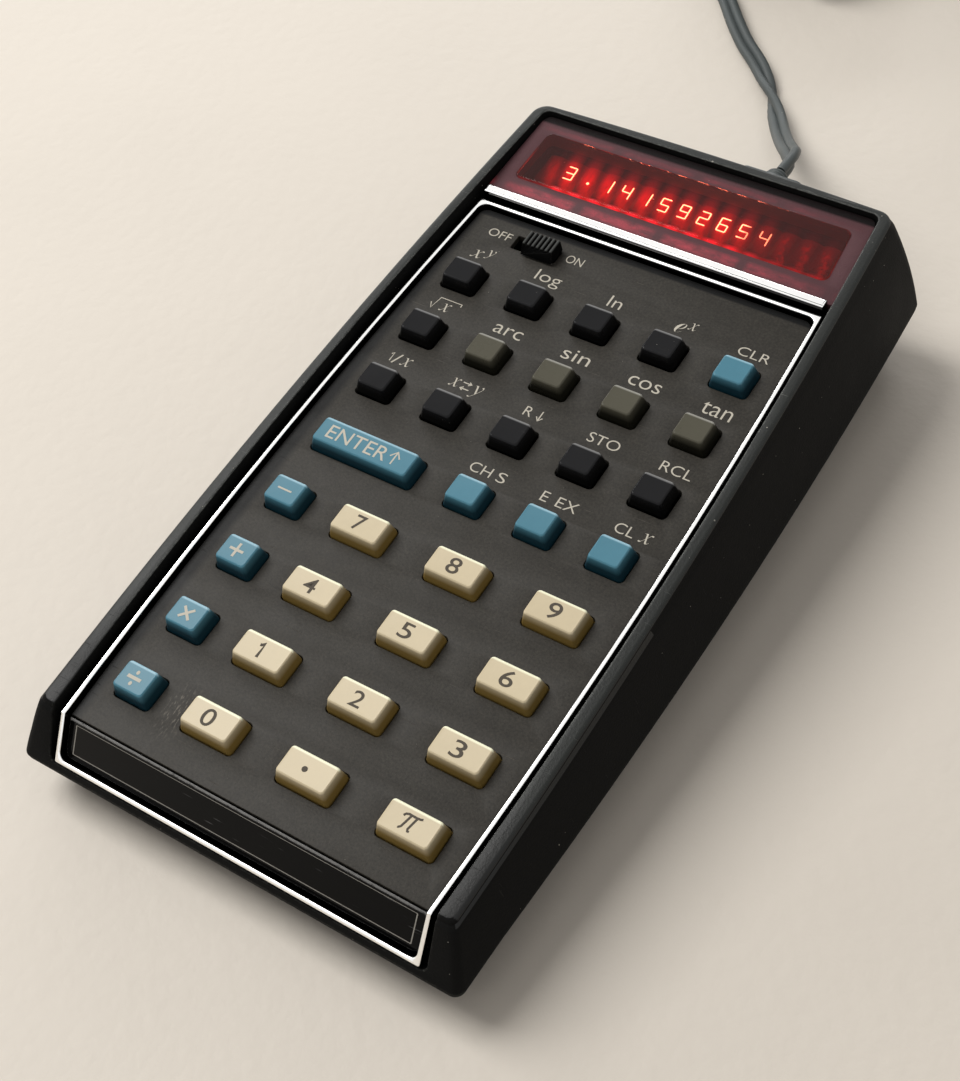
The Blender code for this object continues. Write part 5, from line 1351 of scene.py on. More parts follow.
def key_finish(name, tint, painted_foot_shade, roughness, specular):
    """Glossy key plastic, with painted shade that darkens its colour by the given shares towards its
    foot.
    """
    material, w, shader = surface(
        name, tint, roughness, grain=(1.8, 0.004), reach=0.3, wearing=0.25, dusty=0.4,
        scratched=0.6, specular=specular, drift=0.08, worn=tuple(min(1.0, 1.15 * c) for c in tint),
    )
    _, along, above = axes_of(w, millimetres(w))
    top, edge = sizes().key_height / MM, sizes().key_depth / 2 / MM
    body = colour_of(shader)
    # Painted shade: the colour darkens towards the key's foot, near the plate.
    body = w.blend(w.span(above, top - 1.5, top - 0.15), w.vectors("MULTIPLY", body, painted_foot_shade), body)
    # Painted highlight along the rear edge of the top, where the light glints.
    pitch = KEY_PITCH / MM
    behind = w.times(within_pitch(w, w.plus(along, 20.5 * pitch), pitch), pitch)
    rear = w.times(w.span(behind, edge - 0.34, edge - 0.1, 0.0, 0.9),
                   w.span(above, top - 0.5, top - 0.25))
    bright = tuple(min(1.0, 1.5 * c + 0.22) for c in tint)
    w.feed(shader.inputs["Base Color"], w.blend(rear, body, bright))
    return material


def pale_ink():
    return material_of("pale_ink", colours().legend, 0.5, grain=(4.0, 0.003), dusty=0.3,
                       specular=0.1)


class MakeKeys(bpy.types.Operator):
    """Make the thirty-five keys with their own figures"""

    bl_idname = "calculator.make_keys"
    bl_label = "Keys"

    def execute(self, context):
        s, c = sizes(), colours()
        # The third value of each finish is its painted shade towards the key's foot.
        finishes = {
            "key_black": key_finish("black_key", c.key_black, (0.12, 0.12, 0.12), 0.2, 0.12),
            "key_grey": key_finish("grey_key", c.key_grey, (0.1, 0.1, 0.08), 0.28, 0.15),
            "key_blue": key_finish("blue_key", c.key_blue, (0.09, 0.17, 0.19), 0.3, 0.25),
            "key_beige": key_finish("number_key", c.key_beige, (0.42, 0.33, 0.13), 0.3, 0.35),
        }
        pale = pale_ink()
        dark = material_of("dark_ink", c.figure, 0.5, grain=(4.0, 0.003), dusty=0.2, specular=0.08)
        for name, x, y, kind, finish in key_places():
            beige = kind == "number"
            marks = [stroke(line, width * MM, s.ink_thickness)
                     for width, line in KEY_STROKES.get(name, [])]
            if name == "point":
                dot = rounded_rectangle(POINT_WIDTH, POINT_WIDTH, POINT_WIDTH * 0.499, POINT_PLACE, 8)
                marks.append(flat_solid("dot", [dot], 0, s.ink_thickness))
            elif name in KEY_MARKS:
                marks.append(lettering(KEY_TEXT.get(name, name), KEY_MARKS[name], s.ink_thickness,
                                       0.02 * beige))
            marks = [moved(mark, x, y, s.key_height - 0.006 * MM) for mark in marks]
            piece("cap_" + name, placed(joined(name, [key_mesh(x, y, kind)], marks)),
                  "key_" + name, [finishes[finish], dark if beige else pale], ["key_" + name])
        return {"FINISHED"}


class MakeLegends(bpy.types.Operator):
    """Print the legends on the key plate"""

    bl_idname = "calculator.make_legends"
    bl_label = "Plate legends"

    def execute(self, context):
        thickness = sizes().ink_thickness
        meshes = [lettering(text, box, thickness, -0.03) for text, box in PLATE_LEGENDS]
        meshes += [stroke(points, 0.2 * MM, thickness) for points in PLATE_STROKES]
        piece("plate_legends", placed(joined("plate_legends", meshes)), "case", [pale_ink()])
        return {"FINISHED"}


class MakeSwitch(bpy.types.Operator):
    """Make the ridged power switch"""

    bl_idname = "calculator.make_switch"
    bl_label = "Power switch"

    def execute(self, context):
        width, depth, height = SWITCH_KNOB
        x, y = SWITCH_PLACE
        low, high = SEAT_GAP, SEAT_GAP + height
        step = width / SWITCH_RIDGES
        profile = [(-width / 2, low), (width / 2, low)]
        for i in reversed(range(SWITCH_RIDGES)):
            middle = -width / 2 + (i + 0.5) * step
            profile += arc((middle, high - 0.28 * step), 0.28 * step, 0, 180, 6)
            if i:
                profile += [(middle - a * step, high - 0.42 * MM) for a in (0.36, 0.64)]
        knob = rear_solid("knob", profile, -depth / 2, depth / 2)
        for vertex in knob.vertices:
            if vertex.co.y < 0 and vertex.co.z < low + MM:
                vertex.co.y -= 0.9 * MM
        knob = soften(moved(knob, x, y, 0), 0.1 * MM, 60, 2)
        neck = rounded_box("neck", (width - 2 * SEAT_GAP, SWITCH_SLOT_WIDTH - 2 * SEAT_GAP,
                                    2 * PLATE_THICKNESS + 2 * SEAT_GAP),
                           (x, y, -PLATE_THICKNESS / 2), 0.2 * MM)
        slider = rounded_box("slider", (width + 4 * KEY_FLANGE, SWITCH_SLOT_WIDTH + 2 * KEY_FLANGE,
                                        FLANGE_TOP - FLANGE_BOTTOM),
                             (x, y, (FLANGE_TOP + FLANGE_BOTTOM) / 2), 0.3 * MM, 0.1 * MM)
        finish, w, shader = surface(
            "switch_black", (0.0015, 0.0015, 0.0015), 0.45, grain=(2.4, 0.008), reach=0.22,
            worn=(0.05, 0.05, 0.048), specular=0.04,
        )
        # Painted sheen: the tops of the ridges are grey and the rest black.
        crest = high / MM
        rubbed = w.span(axes_of(w, millimetres(w))[2], crest - 0.3, crest - 0.05)
        w.feed(shader.inputs["Base Color"],
               w.blend(rubbed, colour_of(shader), (0.075, 0.078, 0.075)))
        piece("switch_knob", placed(joined("switch", [knob, neck, slider])), "power_switch",
              [finish], ["power_switch"])
        return {"FINISHED"}


# Display


def window_height(y):
    part = (y - WINDOW_FRONT) / (recess_rear() - WINDOW_FRONT)
    return mix(*WINDOW_TOP, part)


def panel_outline(inset=0.0):
    r = PANEL_CORNER - inset * 0.5
    low, high = PANEL_FRONT + inset, PANEL_FRONT + PANEL_DEPTH - inset
    right = arc((PANEL_WIDTHS[0] / 2 - inset - r, low + r), r, -90, 0, 8)
    right += arc((PANEL_WIDTHS[1] / 2 - inset - r, high - r), r, 0, 90, 8)
    return right + [(-x, y) for x, y in reversed(right)]


class MakeDisplay(bpy.types.Operator):
    """Make the window, its pane, the bright bar and the lit digits"""

    bl_idname = "calculator.make_display"
    bl_label = "Display"

    def execute(self, context):
        outline = bowed_outline(
            recess_side(SEAT_GAP), WINDOW_FRONT, recess_rear() - SEAT_GAP,
            (0, RECESS_CORNER_RADIUS),
        )
        border = flat_solid("border", [outline, panel_outline()], 0.0, BORDER_THICKNESS, 0.12 * MM)
        for vertex in border.vertices:
            # The upper half follows the window's slope, and the lower half stays on the ledge.
            sloped = vertex.co.z > BORDER_THICKNESS / 2
            vertex.co.z += (window_height(vertex.co.y) - BORDER_THICKNESS if sloped
                            else -PLATE_THICKNESS)
        piece("window_border", placed(border), "case", [border_material()],
              ["display_window"])
        pane = flat_solid("pane", [panel_outline(0.04 * MM)], 0.0, PANE_THICKNESS, 0.15 * MM)
        for vertex in pane.vertices:
            vertex.co.z += window_height(vertex.co.y) + PANEL_RISE - PANE_THICKNESS
        piece("window_pane", placed(pane), "case", [pane_material()])
        width, depth, height = TRIM_SIZE
        outline = rounded_rectangle(width, depth, 0.2 * MM, (0, TRIM_FRONT + depth / 2), 3)
        bar = flat_solid("bar", [outline], -PLATE_THICKNESS, height - PLATE_THICKNESS, 0.35 * MM, 4)
        piece("bright_bar", placed(bar), "case", [chrome_material()], ["display_trim"])
        piece("lit_digits", placed(digits_mesh()), "case", [led_material()])
        dress("display_lens", lens_material())
        dress("display_board", board_material())
        return {"FINISHED"}


def bar_mesh(start, end, width):
    """One lit bar with pointed ends, between two places."""
    along = (end - start).normalized()
    across = Vector((-along.y, along.x)) * width / 2
    gap = along * width * 0.35
    a, b = start + gap, end - gap
    nose = along * width / 2
    outline = [a - nose, a - across, b - across, b + nose, b + across, a + across]
    return flat_solid("bar", [outline], *DIGIT_LEVELS)


def digits_mesh():
    s = sizes()
    meshes = []
    for i, character in enumerate(DISPLAY_DIGITS):
        x = FIRST_DIGIT_X + i * DIGIT_PITCH
        if character == ".":
            place = (x + 0.3 * MM, DIGIT_Y - 0.9 * MM)
            dot = rounded_rectangle(0.5 * MM, 0.5 * MM, 0.2 * MM, place, 4)
            meshes.append(flat_solid("dot", [dot], *DIGIT_LEVELS))
            continue
        for bar in DIGIT_BARS[character]:
            # The digits' heads lean a little to the left.
            ends = [Vector((x + (a * s.digit_width - b * 0.06 * s.digit_height) / 2,
                            DIGIT_Y + b * s.digit_height / 2)) for a, b in BAR_ENDS[bar]]
            meshes.append(bar_mesh(*ends, s.digit_stroke))
    return joined("lit_digits", meshes)


def led_material():
    """Lit bars, nearly white at their heart, which the red pane turns orange."""
    material, w, shader = new_material("lit_digit")
    place = millimetres(w)
    flicker = w.span(w.noise(place, 2.5), 0.3, 0.7, 0.8, 1.0)
    # The light falls off over the last two digits.
    level = w.times(flicker, w.span(axes_of(w, place)[0], 10.4, 11.2, 1.0, 0.45))
    w.feed(shader.inputs["Emission Color"], w.scaled(tuple(colours().led), level))
    w.feed(shader.inputs["Base Color"], w.blend(flicker, (0.2, 0.01, 0.01), (0.4, 0.03, 0.02)))
    shader.inputs["Emission Strength"].default_value = 24.0
    shader.inputs["Roughness"].default_value = 0.4
    dent(w, shader, w.noise(place, 8.0), 0.01)
    return material


def digit_glow(w, place):
    """Red light round the digits: a soft spot over each lit one, smeared towards the front."""
    across, along, _ = axes_of(w, place)
    pitch = DIGIT_PITCH / MM
    # Below the digits the light falls further to the right.
    across = w.plus(across, w.times(w.minus(along, DIGIT_Y / MM), 0.22))
    offset = w.minus(across, FIRST_DIGIT_X / MM - pitch / 2)
    within = w.maths("ABSOLUTE", within_pitch(w, offset, pitch))
    smears = w.noise(w.stretched(place, (1.3, 0.45, 1.0)), 1.0, 4.0, 0.6)
    glow = w.times(
        w.span(within, 0.46, 0.12, 0.1, 1.0), w.span(smears, 0.25, 0.7, 0.3, 1.0),
        w.span(along, 23.5, 29.4, 0.12, 1.0), w.span(along, 33.6, 30.6),
        w.window(across, -28.5, -24.0, 17.2, 18.4), w.span(across, 13.2, 8.6, 0.18, 1.0),
    )
    ghosts = w.times(
        w.span(within, 0.3, 0.1), w.span(w.noise(place, 1.2, 3.0), 0.42, 0.62, 0.0, 0.22),
        w.window(along, 25.5, 27.0, 31.5, 33.0), w.span(across, 16.6, 18.0),
    )
    return w.plus(glow, ghosts)


def border_material():
    """Grained red border, with the light of the digits' blocks streaking along it."""
    material, w, shader = surface(
        "window_border", colours().window, 0.5, grain=(3.4, 0.06), worn=(0.2, 0.1, 0.1), reach=0.3,
        wearing=0.4, dusty=0.8, drift=0.16, specular=0.12,
    )
    place = millimetres(w)
    across, along, _ = axes_of(w, place)
    front = PANEL_FRONT / MM
    blocks = w.maths("ABSOLUTE", within_pitch(w, w.plus(across, 31.2), 15.6))
    streaks = w.noise(w.stretched(place, (0.5, 1.0, 1.0)), 0.7, 4.0, 0.6)
    low = w.window(along, front - 3.4, front - 2.7, front - 1.7, front - 0.9)
    high = w.times(w.span(along, front + 11.2, front + 11.6),
                   w.span(along, front + 12.6, front + 12.0, 0.0, 0.3))
    glow = w.times(
        w.plus(low, high), w.span(blocks, 0.47, 0.4), w.span(streaks, 0.25, 0.75),
        w.span(across, -30.5, -26.0, 0.25, 1.0), w.span(across, 29.0, 14.0, 0.2, 1.0),
        w.span(w.noise(place, 5.0), 0.3, 0.7, 0.7, 1.15),
    )
    w.feed(shader.inputs["Emission Color"], w.blend(glow, (0.0, 0.0, 0.0), (0.62, 0.035, 0.06)))
    shader.inputs["Emission Strength"].default_value = 0.6
    shade = w.span(along, front + 13.3, front + 12.8, 0.02, 1.0)
    w.feed(shader.inputs["Base Color"], w.blend(shade, (0.001, 0.0, 0.0), colour_of(shader)))
    return material


def pane_material():
    """Polished tinted plastic, with painted glow of the digits' light in it and a faint painted haze
    over it all.
    """
    material, w, shader = surface(
        "window_pane", colours().pane, 0.03, grain=(0.6, 0.001), worn=(0.5, 0.35, 0.3), reach=0.2,
        wearing=0.3, scratched=0.6, drift=0.05, specular=0.3,
    )
    across, along, _ = axes_of(w, millimetres(w))
    pitch, front = DIGIT_PITCH / MM, PANEL_FRONT / MM
    offset = w.minus(across, FIRST_DIGIT_X / MM - pitch / 2 + 1.7)
    within = w.maths("ABSOLUTE", within_pitch(w, offset, pitch))
    # Painted glow of the digits' light: spots along the pane's front edge, and a line along that edge.
    edge_glow_spots = w.times(
        w.span(within, 0.42, 0.1), w.span(along, front + 0.75, front + 0.15),
        w.span(across, -23.5, -21.5), w.span(across, 18.5, 10.5, 0.12, 1.0),
    )
    line = w.times(w.span(along, front + 0.35, front + 0.1), 0.12)
    # Glow in the pane itself, round each lit digit as it is seen from the front
    halo = w.times(
        w.span(within, 0.5, 0.1, 0.0, 0.16),
        w.window(along, front + 1.0, front + 4.5, front + 6.6, front + 9.6),
        w.span(across, -24.5, -22.0), w.span(across, 18.5, 10.5, 0.15, 1.0),
    )
    # Under the painted glow, a faint painted haze over the whole pane.
    w.feed(shader.inputs["Emission Color"],
           w.blend(w.plus(halo, edge_glow_spots, line), (0.024, 0.014, 0.013), (0.85, 0.02, 0.03)))
    shader.inputs["Emission Strength"].default_value = 1.0
    shader.inputs["Transmission Weight"].default_value = 1.0
    shader.inputs["IOR"].default_value = 1.12
    return material


def lens_material():
    """Row of clear lenses, red with the digits' light."""
    material, w, shader = surface(
        "digit_lens", (0.09, 0.012, 0.012), 0.3, grain=(1.0, 0.002), wearing=0.2, dusty=0.5,
        scratched=0.2, specular=0.1,
    )
    w.feed(shader.inputs["Emission Color"],
           w.blend(digit_glow(w, millimetres(w)), (0.03, 0.004, 0.004), (1.0, 0.012, 0.012)))
    shader.inputs["Emission Strength"].default_value = 1.7
    return material


# Inner parts


def board_material():
    """Resist over copper tracks that run in two directions, with plated pads."""
    if "circuit_board" in bpy.data.materials:
        return bpy.data.materials["circuit_board"]
    material, w, shader = surface(
        "circuit_board", colours().board, 0.4, grain=(3.0, 0.01), reach=0.3, wearing=0.5,
        worn=(0.4, 0.36, 0.22),
    )
    place = millimetres(w)
    cells = w.node("ShaderNodeTexBrick", {"Vector": place, "Scale": 0.8, "Mortar Size": 0.04,
                                          "Brick Width": 2.1, "Row Height": 0.42})
    tracks = w.blend(w.times(cells.outputs["Fac"], 0.7), colour_of(shader), (0.05, 0.18, 0.05))
    dots = w.node("ShaderNodeTexVoronoi", {"Vector": place, "Scale": 0.32, "Randomness": 0.35})
    pads = w.span(dots.outputs[0], 0.17, 0.14)
    w.feed(shader.inputs["Base Color"], w.blend(pads, tracks, tuple(colours().gold)))
    return material


class MakeInside(bpy.types.Operator):
    """Finish the boards, the contact sheet, the socket, the battery, its door and the feet"""

    bl_idname = "calculator.make_inside"
    bl_label = "Inside and underside"

    def execute(self, context):
        c = colours()
        for node in ("keyboard_board", "logic_board"):
            dress(node, board_material())
        dress("contact_sheet", material_of(
            "spring_sheet", c.gold, 0.28, metallic=1.0, grain=(1.5, 0.01), worn=(0.9, 0.85, 0.7),
        ))
        dress("charger_socket", material_of(
            "socket_plastic", c.block, 0.42, grain=(2.2, 0.01), reach=0.3, in_plane=False,
        ))
        self.make_feet()
        self.make_battery()
        self.make_door()
        self.make_latches()
        return {"FINISHED"}

    def make_feet(self):
        rubber = rubber_material()
        top = FLOOR_CLEARANCE + FOOT_RECESS - SEAT_GAP
        radius, r = 4.5 * MM, 0.35 * MM
        profile = [(3.2 * MM, 0.0), *arc((4.1 * MM - r, r), r, -90, 0, 5)]
        profile += [(radius - 0.1 * MM, top - 0.15 * MM), (radius, top - 0.05 * MM),
                    (radius - 0.1 * MM, top)]
        for side, (x, y) in FOOT_PLACES.items():
            piece("foot_" + side, moved(turned("foot", profile), x, y, 0), "case", [rubber],
                  ["front_foot_" + side])

    def make_battery(self):
        """Three cells in a shrunk sleeve, with a metal button at each cell's end."""
        middle = BASE_TOP + SEAT_GAP + CELL_RADIUS
        turn = degrees(asin(3.0 * MM / CELL_RADIUS))
        button = in_mm([(2.6, -0.5), (2.6, 0.1), (2.4, 0.2), (1.6, 0.22)])
        lower, upper, buttons = [], [], []
        for i in range(3):
            y = PACK_FRONT_Y + (2 * i + 1) * CELL_RADIUS
            first, last = (0 if i == end else turn for end in (0, 2))
            upper += arc((y, middle), CELL_RADIUS, 180 - first, last, 20)
            lower += arc((y, middle), CELL_RADIUS, 180 + first, 360 - last, 20)
            for side in (-1, 1):
                upright = placed(turned("button", button, 32), Matrix.Rotation(side * pi / 2, 4, "Y"))
                buttons.append(moved(upright, side * (CELL_LENGTH / 2 - 0.22 * MM), y, middle))
        sleeve = side_solid("sleeve", [lower + upper[-2:0:-1]], -CELL_LENGTH / 2, CELL_LENGTH / 2,
                            0.6 * MM)
        wrap = material_of("cell_sleeve", colours().battery, 0.38, grain=(1.2, 0.02), reach=0.5,
                           in_plane=False, dusty=0.5)
        metal = material_of("cell_metal", (0.72, 0.71, 0.68), 0.3, metallic=1.0, grain=(2.0, 0.01),
                            worn=(0.3, 0.29, 0.27), in_plane=False)
        piece("battery_cells", joined("cells", [sleeve], buttons), "battery_door", [wrap, metal],
              ["battery_pack"])

    def make_door(self):
        """Door with its hinge roll, ribs for the thumb and slots for the latches."""
        profile = arc(HINGE, HINGE_RADIUS, 90, 270, 16)
        profile += [(DOOR_REAR_Y, FLOOR_CLEARANCE), (DOOR_REAR_Y, BASE_TOP)]
        door = side_solid("door", [profile], -DOOR_HALF_WIDTH, DOOR_HALF_WIDTH)
        inner = LATCH_X - LATCH_TRAVEL - LATCH_NECK[0] / 2 - SEAT_GAP
        outer = DOOR_HALF_WIDTH + MM
        slots = [
            rounded_box("slot", (outer - inner, LATCH_NECK[1] + 2 * SEAT_GAP, 6 * MM),
                        (side * (inner + outer) / 2, LATCH_Y, FLOOR_CLEARANCE), 0.2 * MM)
            for side in (-1, 1)
        ]
        ribs = [
            rounded_box("rib", ((22 - 2 * i) * MM, 0.7 * MM, 0.5 * MM),
                        (0, HINGE[0] + (30 + 1.6 * i) * MM, FLOOR_CLEARANCE), 0.3 * MM, 0.2 * MM)
            for i in range(5)
        ]
        door = soften(cut(door, slots), 0.15 * MM, 60, 2)
        piece("door_panel", joined("door", [door, *ribs]), "battery_door", [case_material()],
              ["battery_door"])

    def make_latches(self):
        rubber = rubber_material()
        pad_height = FLOOR_CLEARANCE - SEAT_GAP
        tongue_height = 0.8 * MM
        neck_top = BASE_TOP + SEAT_GAP + tongue_height
        pad_x = LATCH_X + LATCH_NECK[0] / 2 - 5 * MM
        pad_y = LATCH_Y + 6 * MM - LATCH_NECK[1]
        reach = DOOR_HALF_WIDTH + 0.9 * MM
        start = LATCH_X - LATCH_NECK[0] / 2 - 0.2 * MM
        for name, side in (("left", -1), ("right", 1)):
            pad = rounded_box("pad", (10 * MM, 12 * MM, pad_height),
                              (side * pad_x, pad_y, pad_height / 2), 1.2 * MM, 0.25 * MM)
            neck = rounded_box("neck", (*LATCH_NECK, neck_top - pad_height / 2),
                               (side * LATCH_X, LATCH_Y, (neck_top + pad_height / 2) / 2),
                               0.2 * MM, 0.05 * MM)
            tongue = rounded_box(
                "tongue", (reach - start, LATCH_NECK[1] - 0.2 * MM, tongue_height),
                (side * (reach + start) / 2, LATCH_Y, neck_top - tongue_height / 2),
                0.2 * MM, 0.1 * MM,
            )
            ridges = [
                rounded_box("ridge", (7 * MM, 0.6 * MM, 0.3 * MM),
                            (side * pad_x, pad_y + (i - 2) * 1.8 * MM, 0.15 * MM), 0.25 * MM,
                            0.1 * MM)
                for i in range(5)
            ]
            piece("latch_foot_" + name, joined("latch", [pad, neck, tongue, *ridges]),
                  "latch_" + name, [rubber], ["latch_" + name])


def rubber_material():
    return material_of("foot_rubber", colours().rubber, 0.75, grain=(2.2, 0.02), reach=0.5,
                       worn=(0.09, 0.09, 0.085), in_plane=False, dusty=1.6)


# Lead and charger


def smooth_line(points, step):
    """Points a step apart along a Catmull-Rom curve, which lead in and out straight at its ends."""
    fine = []
    for a, b, c, d in zip(points, points[1:], points[2:], points[3:]):
        for i in range(20):
            t = i / 20
            fine.append(0.5 * (2 * b + (c - a) * t + (2 * a - 5 * b + 4 * c - d) * t**2
                               + (3 * b - a - 3 * c + d) * t**3))
    fine.append(points[-2])
    lengths = [0.0]
    for a, b in zip(fine, fine[1:]):
        lengths.append(lengths[-1] + (b - a).length)
    count = ceil(lengths[-1] / step)
    line, k = [points[0]], 0
    for i in range(count + 1):
        wanted = lengths[-1] * i / count
        while k < len(fine) - 2 and lengths[k + 1] < wanted:
            k += 1
        part = (wanted - lengths[k]) / (lengths[k + 1] - lengths[k])
        line.append(fine[k].lerp(fine[k + 1], part))
    return [*line, points[-1]]


def coil_point(angle, radius, height):
    x, y = COIL_CENTRE
    return Vector((x + radius * cos(radians(angle)), y + radius * sin(radians(angle)), height))


def tangent_at(angle):
    return Vector((sin(radians(angle)), -cos(radians(angle)), 0))


def lead_line():
    """The lead's whole centreline: the free stretch, then the coil of what is put away."""
    band = COIL_TURNS / COIL_LAYERS * COIL_PITCH / 2
    route = [Vector(point) * MM for point in CORD_ROUTE]
    straight = CORD_START + Vector((0, CORD_DIAMETER, 0))
    start = coil_point(COIL_START, COIL_RADIUS + band, CORD_FLOOR)
    heading = tangent_at(COIL_START)
    end = start - heading * (CORD_DIAMETER + SEAT_GAP)
    run_in = end - heading * CORD_DIAMETER
    line = smooth_line([CORD_START, straight, *route, run_in, end], 2 * MM)
    total = COIL_TURNS * 360
    layer = total / COIL_LAYERS
    count = round(COIL_TURNS * 72)
    for i in range(count + 1):
        gone = total * i / count
        number = min(int(gone / layer), COIL_LAYERS - 1)
        within = gone / layer - number
        part = 1 - 2 * within if number % 2 == 0 else 2 * within - 1
        climb = sum(
            min(max((gone - k * layer) / 180 + 0.5, 0.0), 1.0) for k in range(1, COIL_LAYERS)
        )
        line.append(coil_point(COIL_START - gone, COIL_RADIUS + part * band,
                               CORD_FLOOR + climb * COIL_PITCH))
    tail = tangent_at(COIL_START - total)
    for i in range(1, 9):
        line.append(line[-1] + tail * COIL_TAIL / 8)
    return line


def twin_section(gone):
    """Section of a flat twin lead, as (across, up): two round cores, pressed closer in the coil."""
    radius = CORD_DIAMETER * 0.29
    apart = CORD_DIAMETER * (0.27 - 0.06 * ease(gone, 80 * MM, 110 * MM))
    # Angle at which a core's circle meets the middle plane, and the shallow groove begins
    meet = 180 - degrees(acos(apart / radius))
    right = arc((apart, 0), radius, -meet, meet, 10)
    left = arc((-apart, 0), radius, 180 - meet, 180 + meet, 10)
    return right + left


def sweep(name, line, section, roll):
    """Skin of a section carried along a line and turned by the roll at each length along it."""
    rings, gone = [], 0.0
    for i, point in enumerate(line):
        before, after = line[max(i - 1, 0)], line[min(i + 1, len(line) - 1)]
        along = (after - before).normalized()
        across = along.cross(Vector((0, 0, 1))).normalized()
        up = across.cross(along)
        gone += (point - before).length
        turn = roll(gone)
        rings.append([
            point + across * (a * cos(turn) - b * sin(turn)) + up * (a * sin(turn) + b * cos(turn))
            for a, b in section(gone)
        ])
    return loft(name, rings)


def ease(value, low, high):
    part = min(max((value - low) / (high - low), 0.0), 1.0)
    return part * part * (3 - 2 * part)


def lead_roll(gone):
    """Roll of the flat lead: two twists in the free stretch, then a slow steady twist."""
    turn = radians(80) - radians(72) * ease(gone, 3 * MM, 14 * MM)
    turn += radians(190) * ease(gone, 42 * MM, 68 * MM)
    return turn + max(0.0, gone - 95 * MM) / (38 * MM) * pi * ease(gone, 95 * MM, 150 * MM)


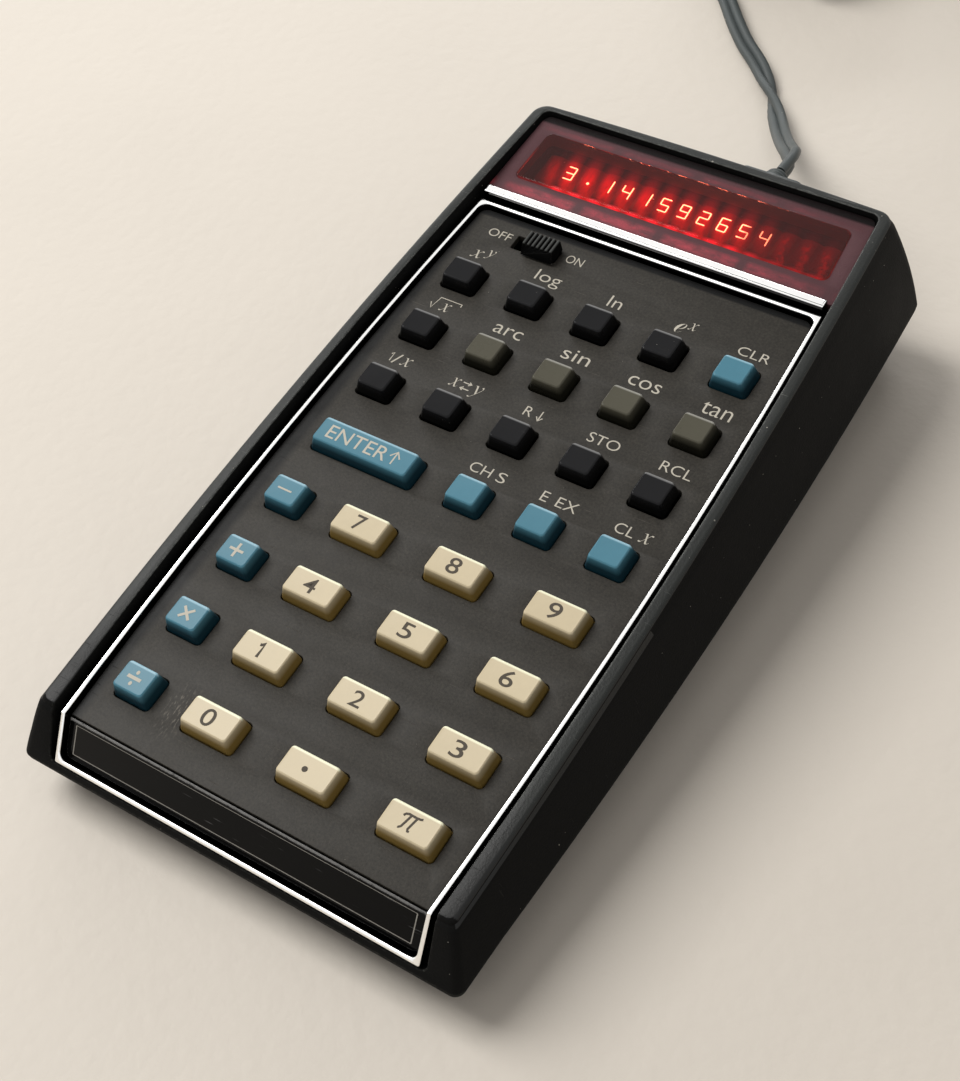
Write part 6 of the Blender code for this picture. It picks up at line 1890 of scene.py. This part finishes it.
class MakeLead(bpy.types.Operator):
    """Make the lead with its coil and tie, the plug and the charger block"""

    bl_idname = "calculator.make_lead"
    bl_label = "Lead and charger"

    def execute(self, context):
        sheath = material_of("cord_sheath", colours().cord, 0.5, grain=(1.4, 0.01),
                             worn=(0.16, 0.17, 0.17), wearing=0.6, in_plane=False, specular=0.3)
        line = lead_line()
        lead = piece("lead", sweep("lead", line, twin_section, lead_roll), "charger_lead",
                     [sheath], ["cord", "cord_coil"], sharp=60)
        plastic = material_of("charger_plastic", colours().block, 0.5, grain=(2.2, 0.03), reach=0.6,
                              worn=(0.08, 0.08, 0.078), in_plane=False)
        others = [self.make_plug(sheath), self.make_tie(), *self.make_block(line[-1], plastic)]
        return {"FINISHED"}

    def make_plug(self, sheath):
        """Plug with finger grooves, its nose in the socket and a tapered neck round the lead."""
        x, z = SOCKET
        width, reach, height = PLUG_GRIP
        rear = PLUG_GRIP_Y + reach
        grip = rear_solid("grip", rounded_rectangle(width, height, 1.6 * MM, (x, z), 8),
                          PLUG_GRIP_Y, rear, 0.7 * MM)
        nose = rear_solid("nose", rounded_rectangle(9.8 * MM, 4.8 * MM, 0.5 * MM, (x, z), 4),
                          SOCKET_REAR_Y - SOCKET_SIZE[1] + MM + SEAT_GAP, PLUG_GRIP_Y + MM,
                          0.2 * MM)
        neck = turned("neck", in_mm([(2.5, -1), (2.5, 0.3), (2.2, 0.6), (2.35, 0.9), (2.05, 1.3),
                                     (2.15, 1.7), (1.9, 2.1), (1.75, 2.3)]), 32)
        neck = moved(placed(neck, Matrix.Rotation(-pi / 2, 4, "X")), x, rear, z)
        outline = rounded_rectangle(width - 2.4 * MM, height + 0.3 * MM, 1.0 * MM, (x, z), 6)
        starts = [PLUG_GRIP_Y + (0.8 + 0.6 * i) * MM for i in range(4)]
        ridges = [rear_solid("ridge", outline, y, y + 0.32 * MM, 0.1 * MM) for y in starts]
        return piece("plug_body", joined("plug", [grip, nose, neck, *ridges]), "charger_lead",
                     [sheath], ["charger_plug"])

    def make_tie(self):
        """Soft strap closed round the coil's bundle, with a flat head."""
        angle = 300
        wide = COIL_TURNS / COIL_LAYERS * COIL_PITCH + CORD_DIAMETER + 0.7 * MM
        stack = (COIL_LAYERS - 1) * COIL_PITCH
        tall = stack + CORD_DIAMETER + 0.6 * MM
        outer = rounded_rectangle(wide + 0.8 * MM, tall - 0.2 * MM, 3.0 * MM, steps=8)
        inner = rounded_rectangle(wide, tall - 0.5 * MM, 2.7 * MM, steps=8)
        strap = flat_solid("strap", [outer, inner], -2.5 * MM, 2.5 * MM, 0.12 * MM)
        head = rounded_box("head", (2.2 * MM, 6.0 * MM, 6.0 * MM), (wide / 2 + 0.6 * MM, 0, 0),
                           0.6 * MM, 0.4 * MM)
        turn = Matrix.Rotation(radians(angle), 4, "Z") @ Matrix.Rotation(pi / 2, 4, "X")
        middle = coil_point(angle, COIL_RADIUS, CORD_FLOOR + stack / 2 + 0.1 * MM)
        finish = material_of("tie_strap", (0.02, 0.02, 0.02), 0.6, grain=(3.0, 0.03), reach=0.3,
                             in_plane=False)
        return piece("coil_tie", moved(placed(joined("tie", [strap, head]), turn), *middle),
                     "charger_lead", [finish])

    def make_block(self, end, plastic):
        """Charger block of two shells with a seam between, its lead's relief, ribs and pins."""
        low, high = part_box("charger_block")
        width, depth, height = 44 * MM, high.y - low.y - 0.9 * MM, high.z
        face = high.x - width
        centre = ((face + high.x) / 2, (low.y + high.y) / 2)

        def slab(less, tall, middle, radius, rounding):
            return rounded_box("slab", (width - less, depth - less, tall), (*centre, middle),
                               radius, rounding)

        meshes = [
            slab(0.0, height * 0.62, height * 0.31, 3.0 * MM, 1.6 * MM),
            slab(0.5 * MM, height * 0.4, height * 0.8, 3.0 * MM, 1.6 * MM),
            slab(1.2 * MM, 2 * MM, height * 0.61, 2.6 * MM, 0.1 * MM),
        ]
        for side in (-1, 1):
            for i in range(6):
                rib = rounded_box("rib", (16 * MM, 0.7 * MM, MM), (0, 0, 0), 0.3 * MM, 0.2 * MM)
                rib = placed(rib, Matrix.Rotation(pi / 2, 4, "X"))
                meshes.append(moved(rib, centre[0], centre[1] + side * (depth / 2 - 0.06 * MM),
                                    height * 0.16 + i * 1.9 * MM))
        relief = [(2.2, -1.0), (3.4, 0.0)]
        for i in range(7):
            start, radius = 0.4 + 1.9 * i, mix(3.35, 2.45, i / 6)
            relief += [(radius, start), (radius, start + 1.0), (radius - 0.45, start + 1.15),
                       (radius - 0.45, start + 1.6)]
        relief.append((2.2, BLOCK_RELIEF_LENGTH / MM))
        sleeve = placed(turned("relief", in_mm(relief), 32), Matrix.Rotation(-pi / 2, 4, "Y"))
        meshes.append(moved(sleeve, face, end.y, end.z))
        body = piece("block_body", joined("block", meshes), "charger_lead", [plastic],
                     ["charger_block"])
        base_low, base_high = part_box("charger_pins")
        middle = (base_low + base_high) / 2
        base = rounded_box("base", (20 * MM, 12 * MM, 2 * MM), (middle.x, middle.y, height - MM),
                           1.0 * MM, 0.2 * MM)
        outline = in_mm([(-3.15, -1.5), (3.15, -1.5), (3.15, 14.6), (2.2, 16), (-2.2, 16),
                         (-3.15, 14.6)])
        eye = arc((0, 12.2 * MM), 1.6 * MM, 0, 345, 23)
        blades = [moved(side_solid("blade", [outline, eye], -0.75 * MM, 0.75 * MM, 0.12 * MM),
                        middle.x + side * 6.35 * MM, middle.y, height) for side in (-1, 1)]
        metal = material_of("pin_metal", (0.74, 0.71, 0.62), 0.24, metallic=1.0, grain=(2.0, 0.01),
                            worn=(0.5, 0.42, 0.26), in_plane=False)
        pins = piece("mains_pins", joined("pins", [base], blades), "charger_lead",
                     [plastic, metal], ["charger_pins"])
        return body, pins


# Panel


STEPS = (MakeStage, MakeLead, MakeCase, MakePlates, MakeKeys, MakeLegends, MakeSwitch,
         MakeDisplay, MakeInside)


class CalculatorPanel(bpy.types.Panel):
    """The calculator's pieces and settings"""

    bl_idname = "VIEW3D_PT_calculator"
    bl_label = "Pocket Calculator"
    bl_space_type = "VIEW_3D"
    bl_region_type = "UI"
    bl_category = "Calculator"

    def draw(self, context):
        scene = context.scene
        for step in STEPS:
            self.layout.operator(step.bl_idname)
        for settings in (scene.calculator_sizes, scene.calculator_colours, scene.calculator_wear):
            box = self.layout.box()
            for name in settings.__annotations__:
                box.prop(settings, name)


CLASSES = (CalculatorSizes, CalculatorColours, CalculatorWear, *STEPS, CalculatorPanel)


def register():
    for cls in CLASSES:
        bpy.utils.register_class(cls)
    bpy.types.Scene.calculator_sizes = bpy.props.PointerProperty(type=CalculatorSizes)
    bpy.types.Scene.calculator_colours = bpy.props.PointerProperty(type=CalculatorColours)
    bpy.types.Scene.calculator_wear = bpy.props.PointerProperty(type=CalculatorWear)


def unregister():
    del bpy.types.Scene.calculator_wear
    del bpy.types.Scene.calculator_colours
    del bpy.types.Scene.calculator_sizes
    for cls in reversed(CLASSES):
        bpy.utils.unregister_class(cls)


def main():
    register()
    for step in STEPS:
        group, action = step.bl_idname.split(".")
        getattr(getattr(bpy.ops, group), action)()


if __name__ == "__main__":
    main()
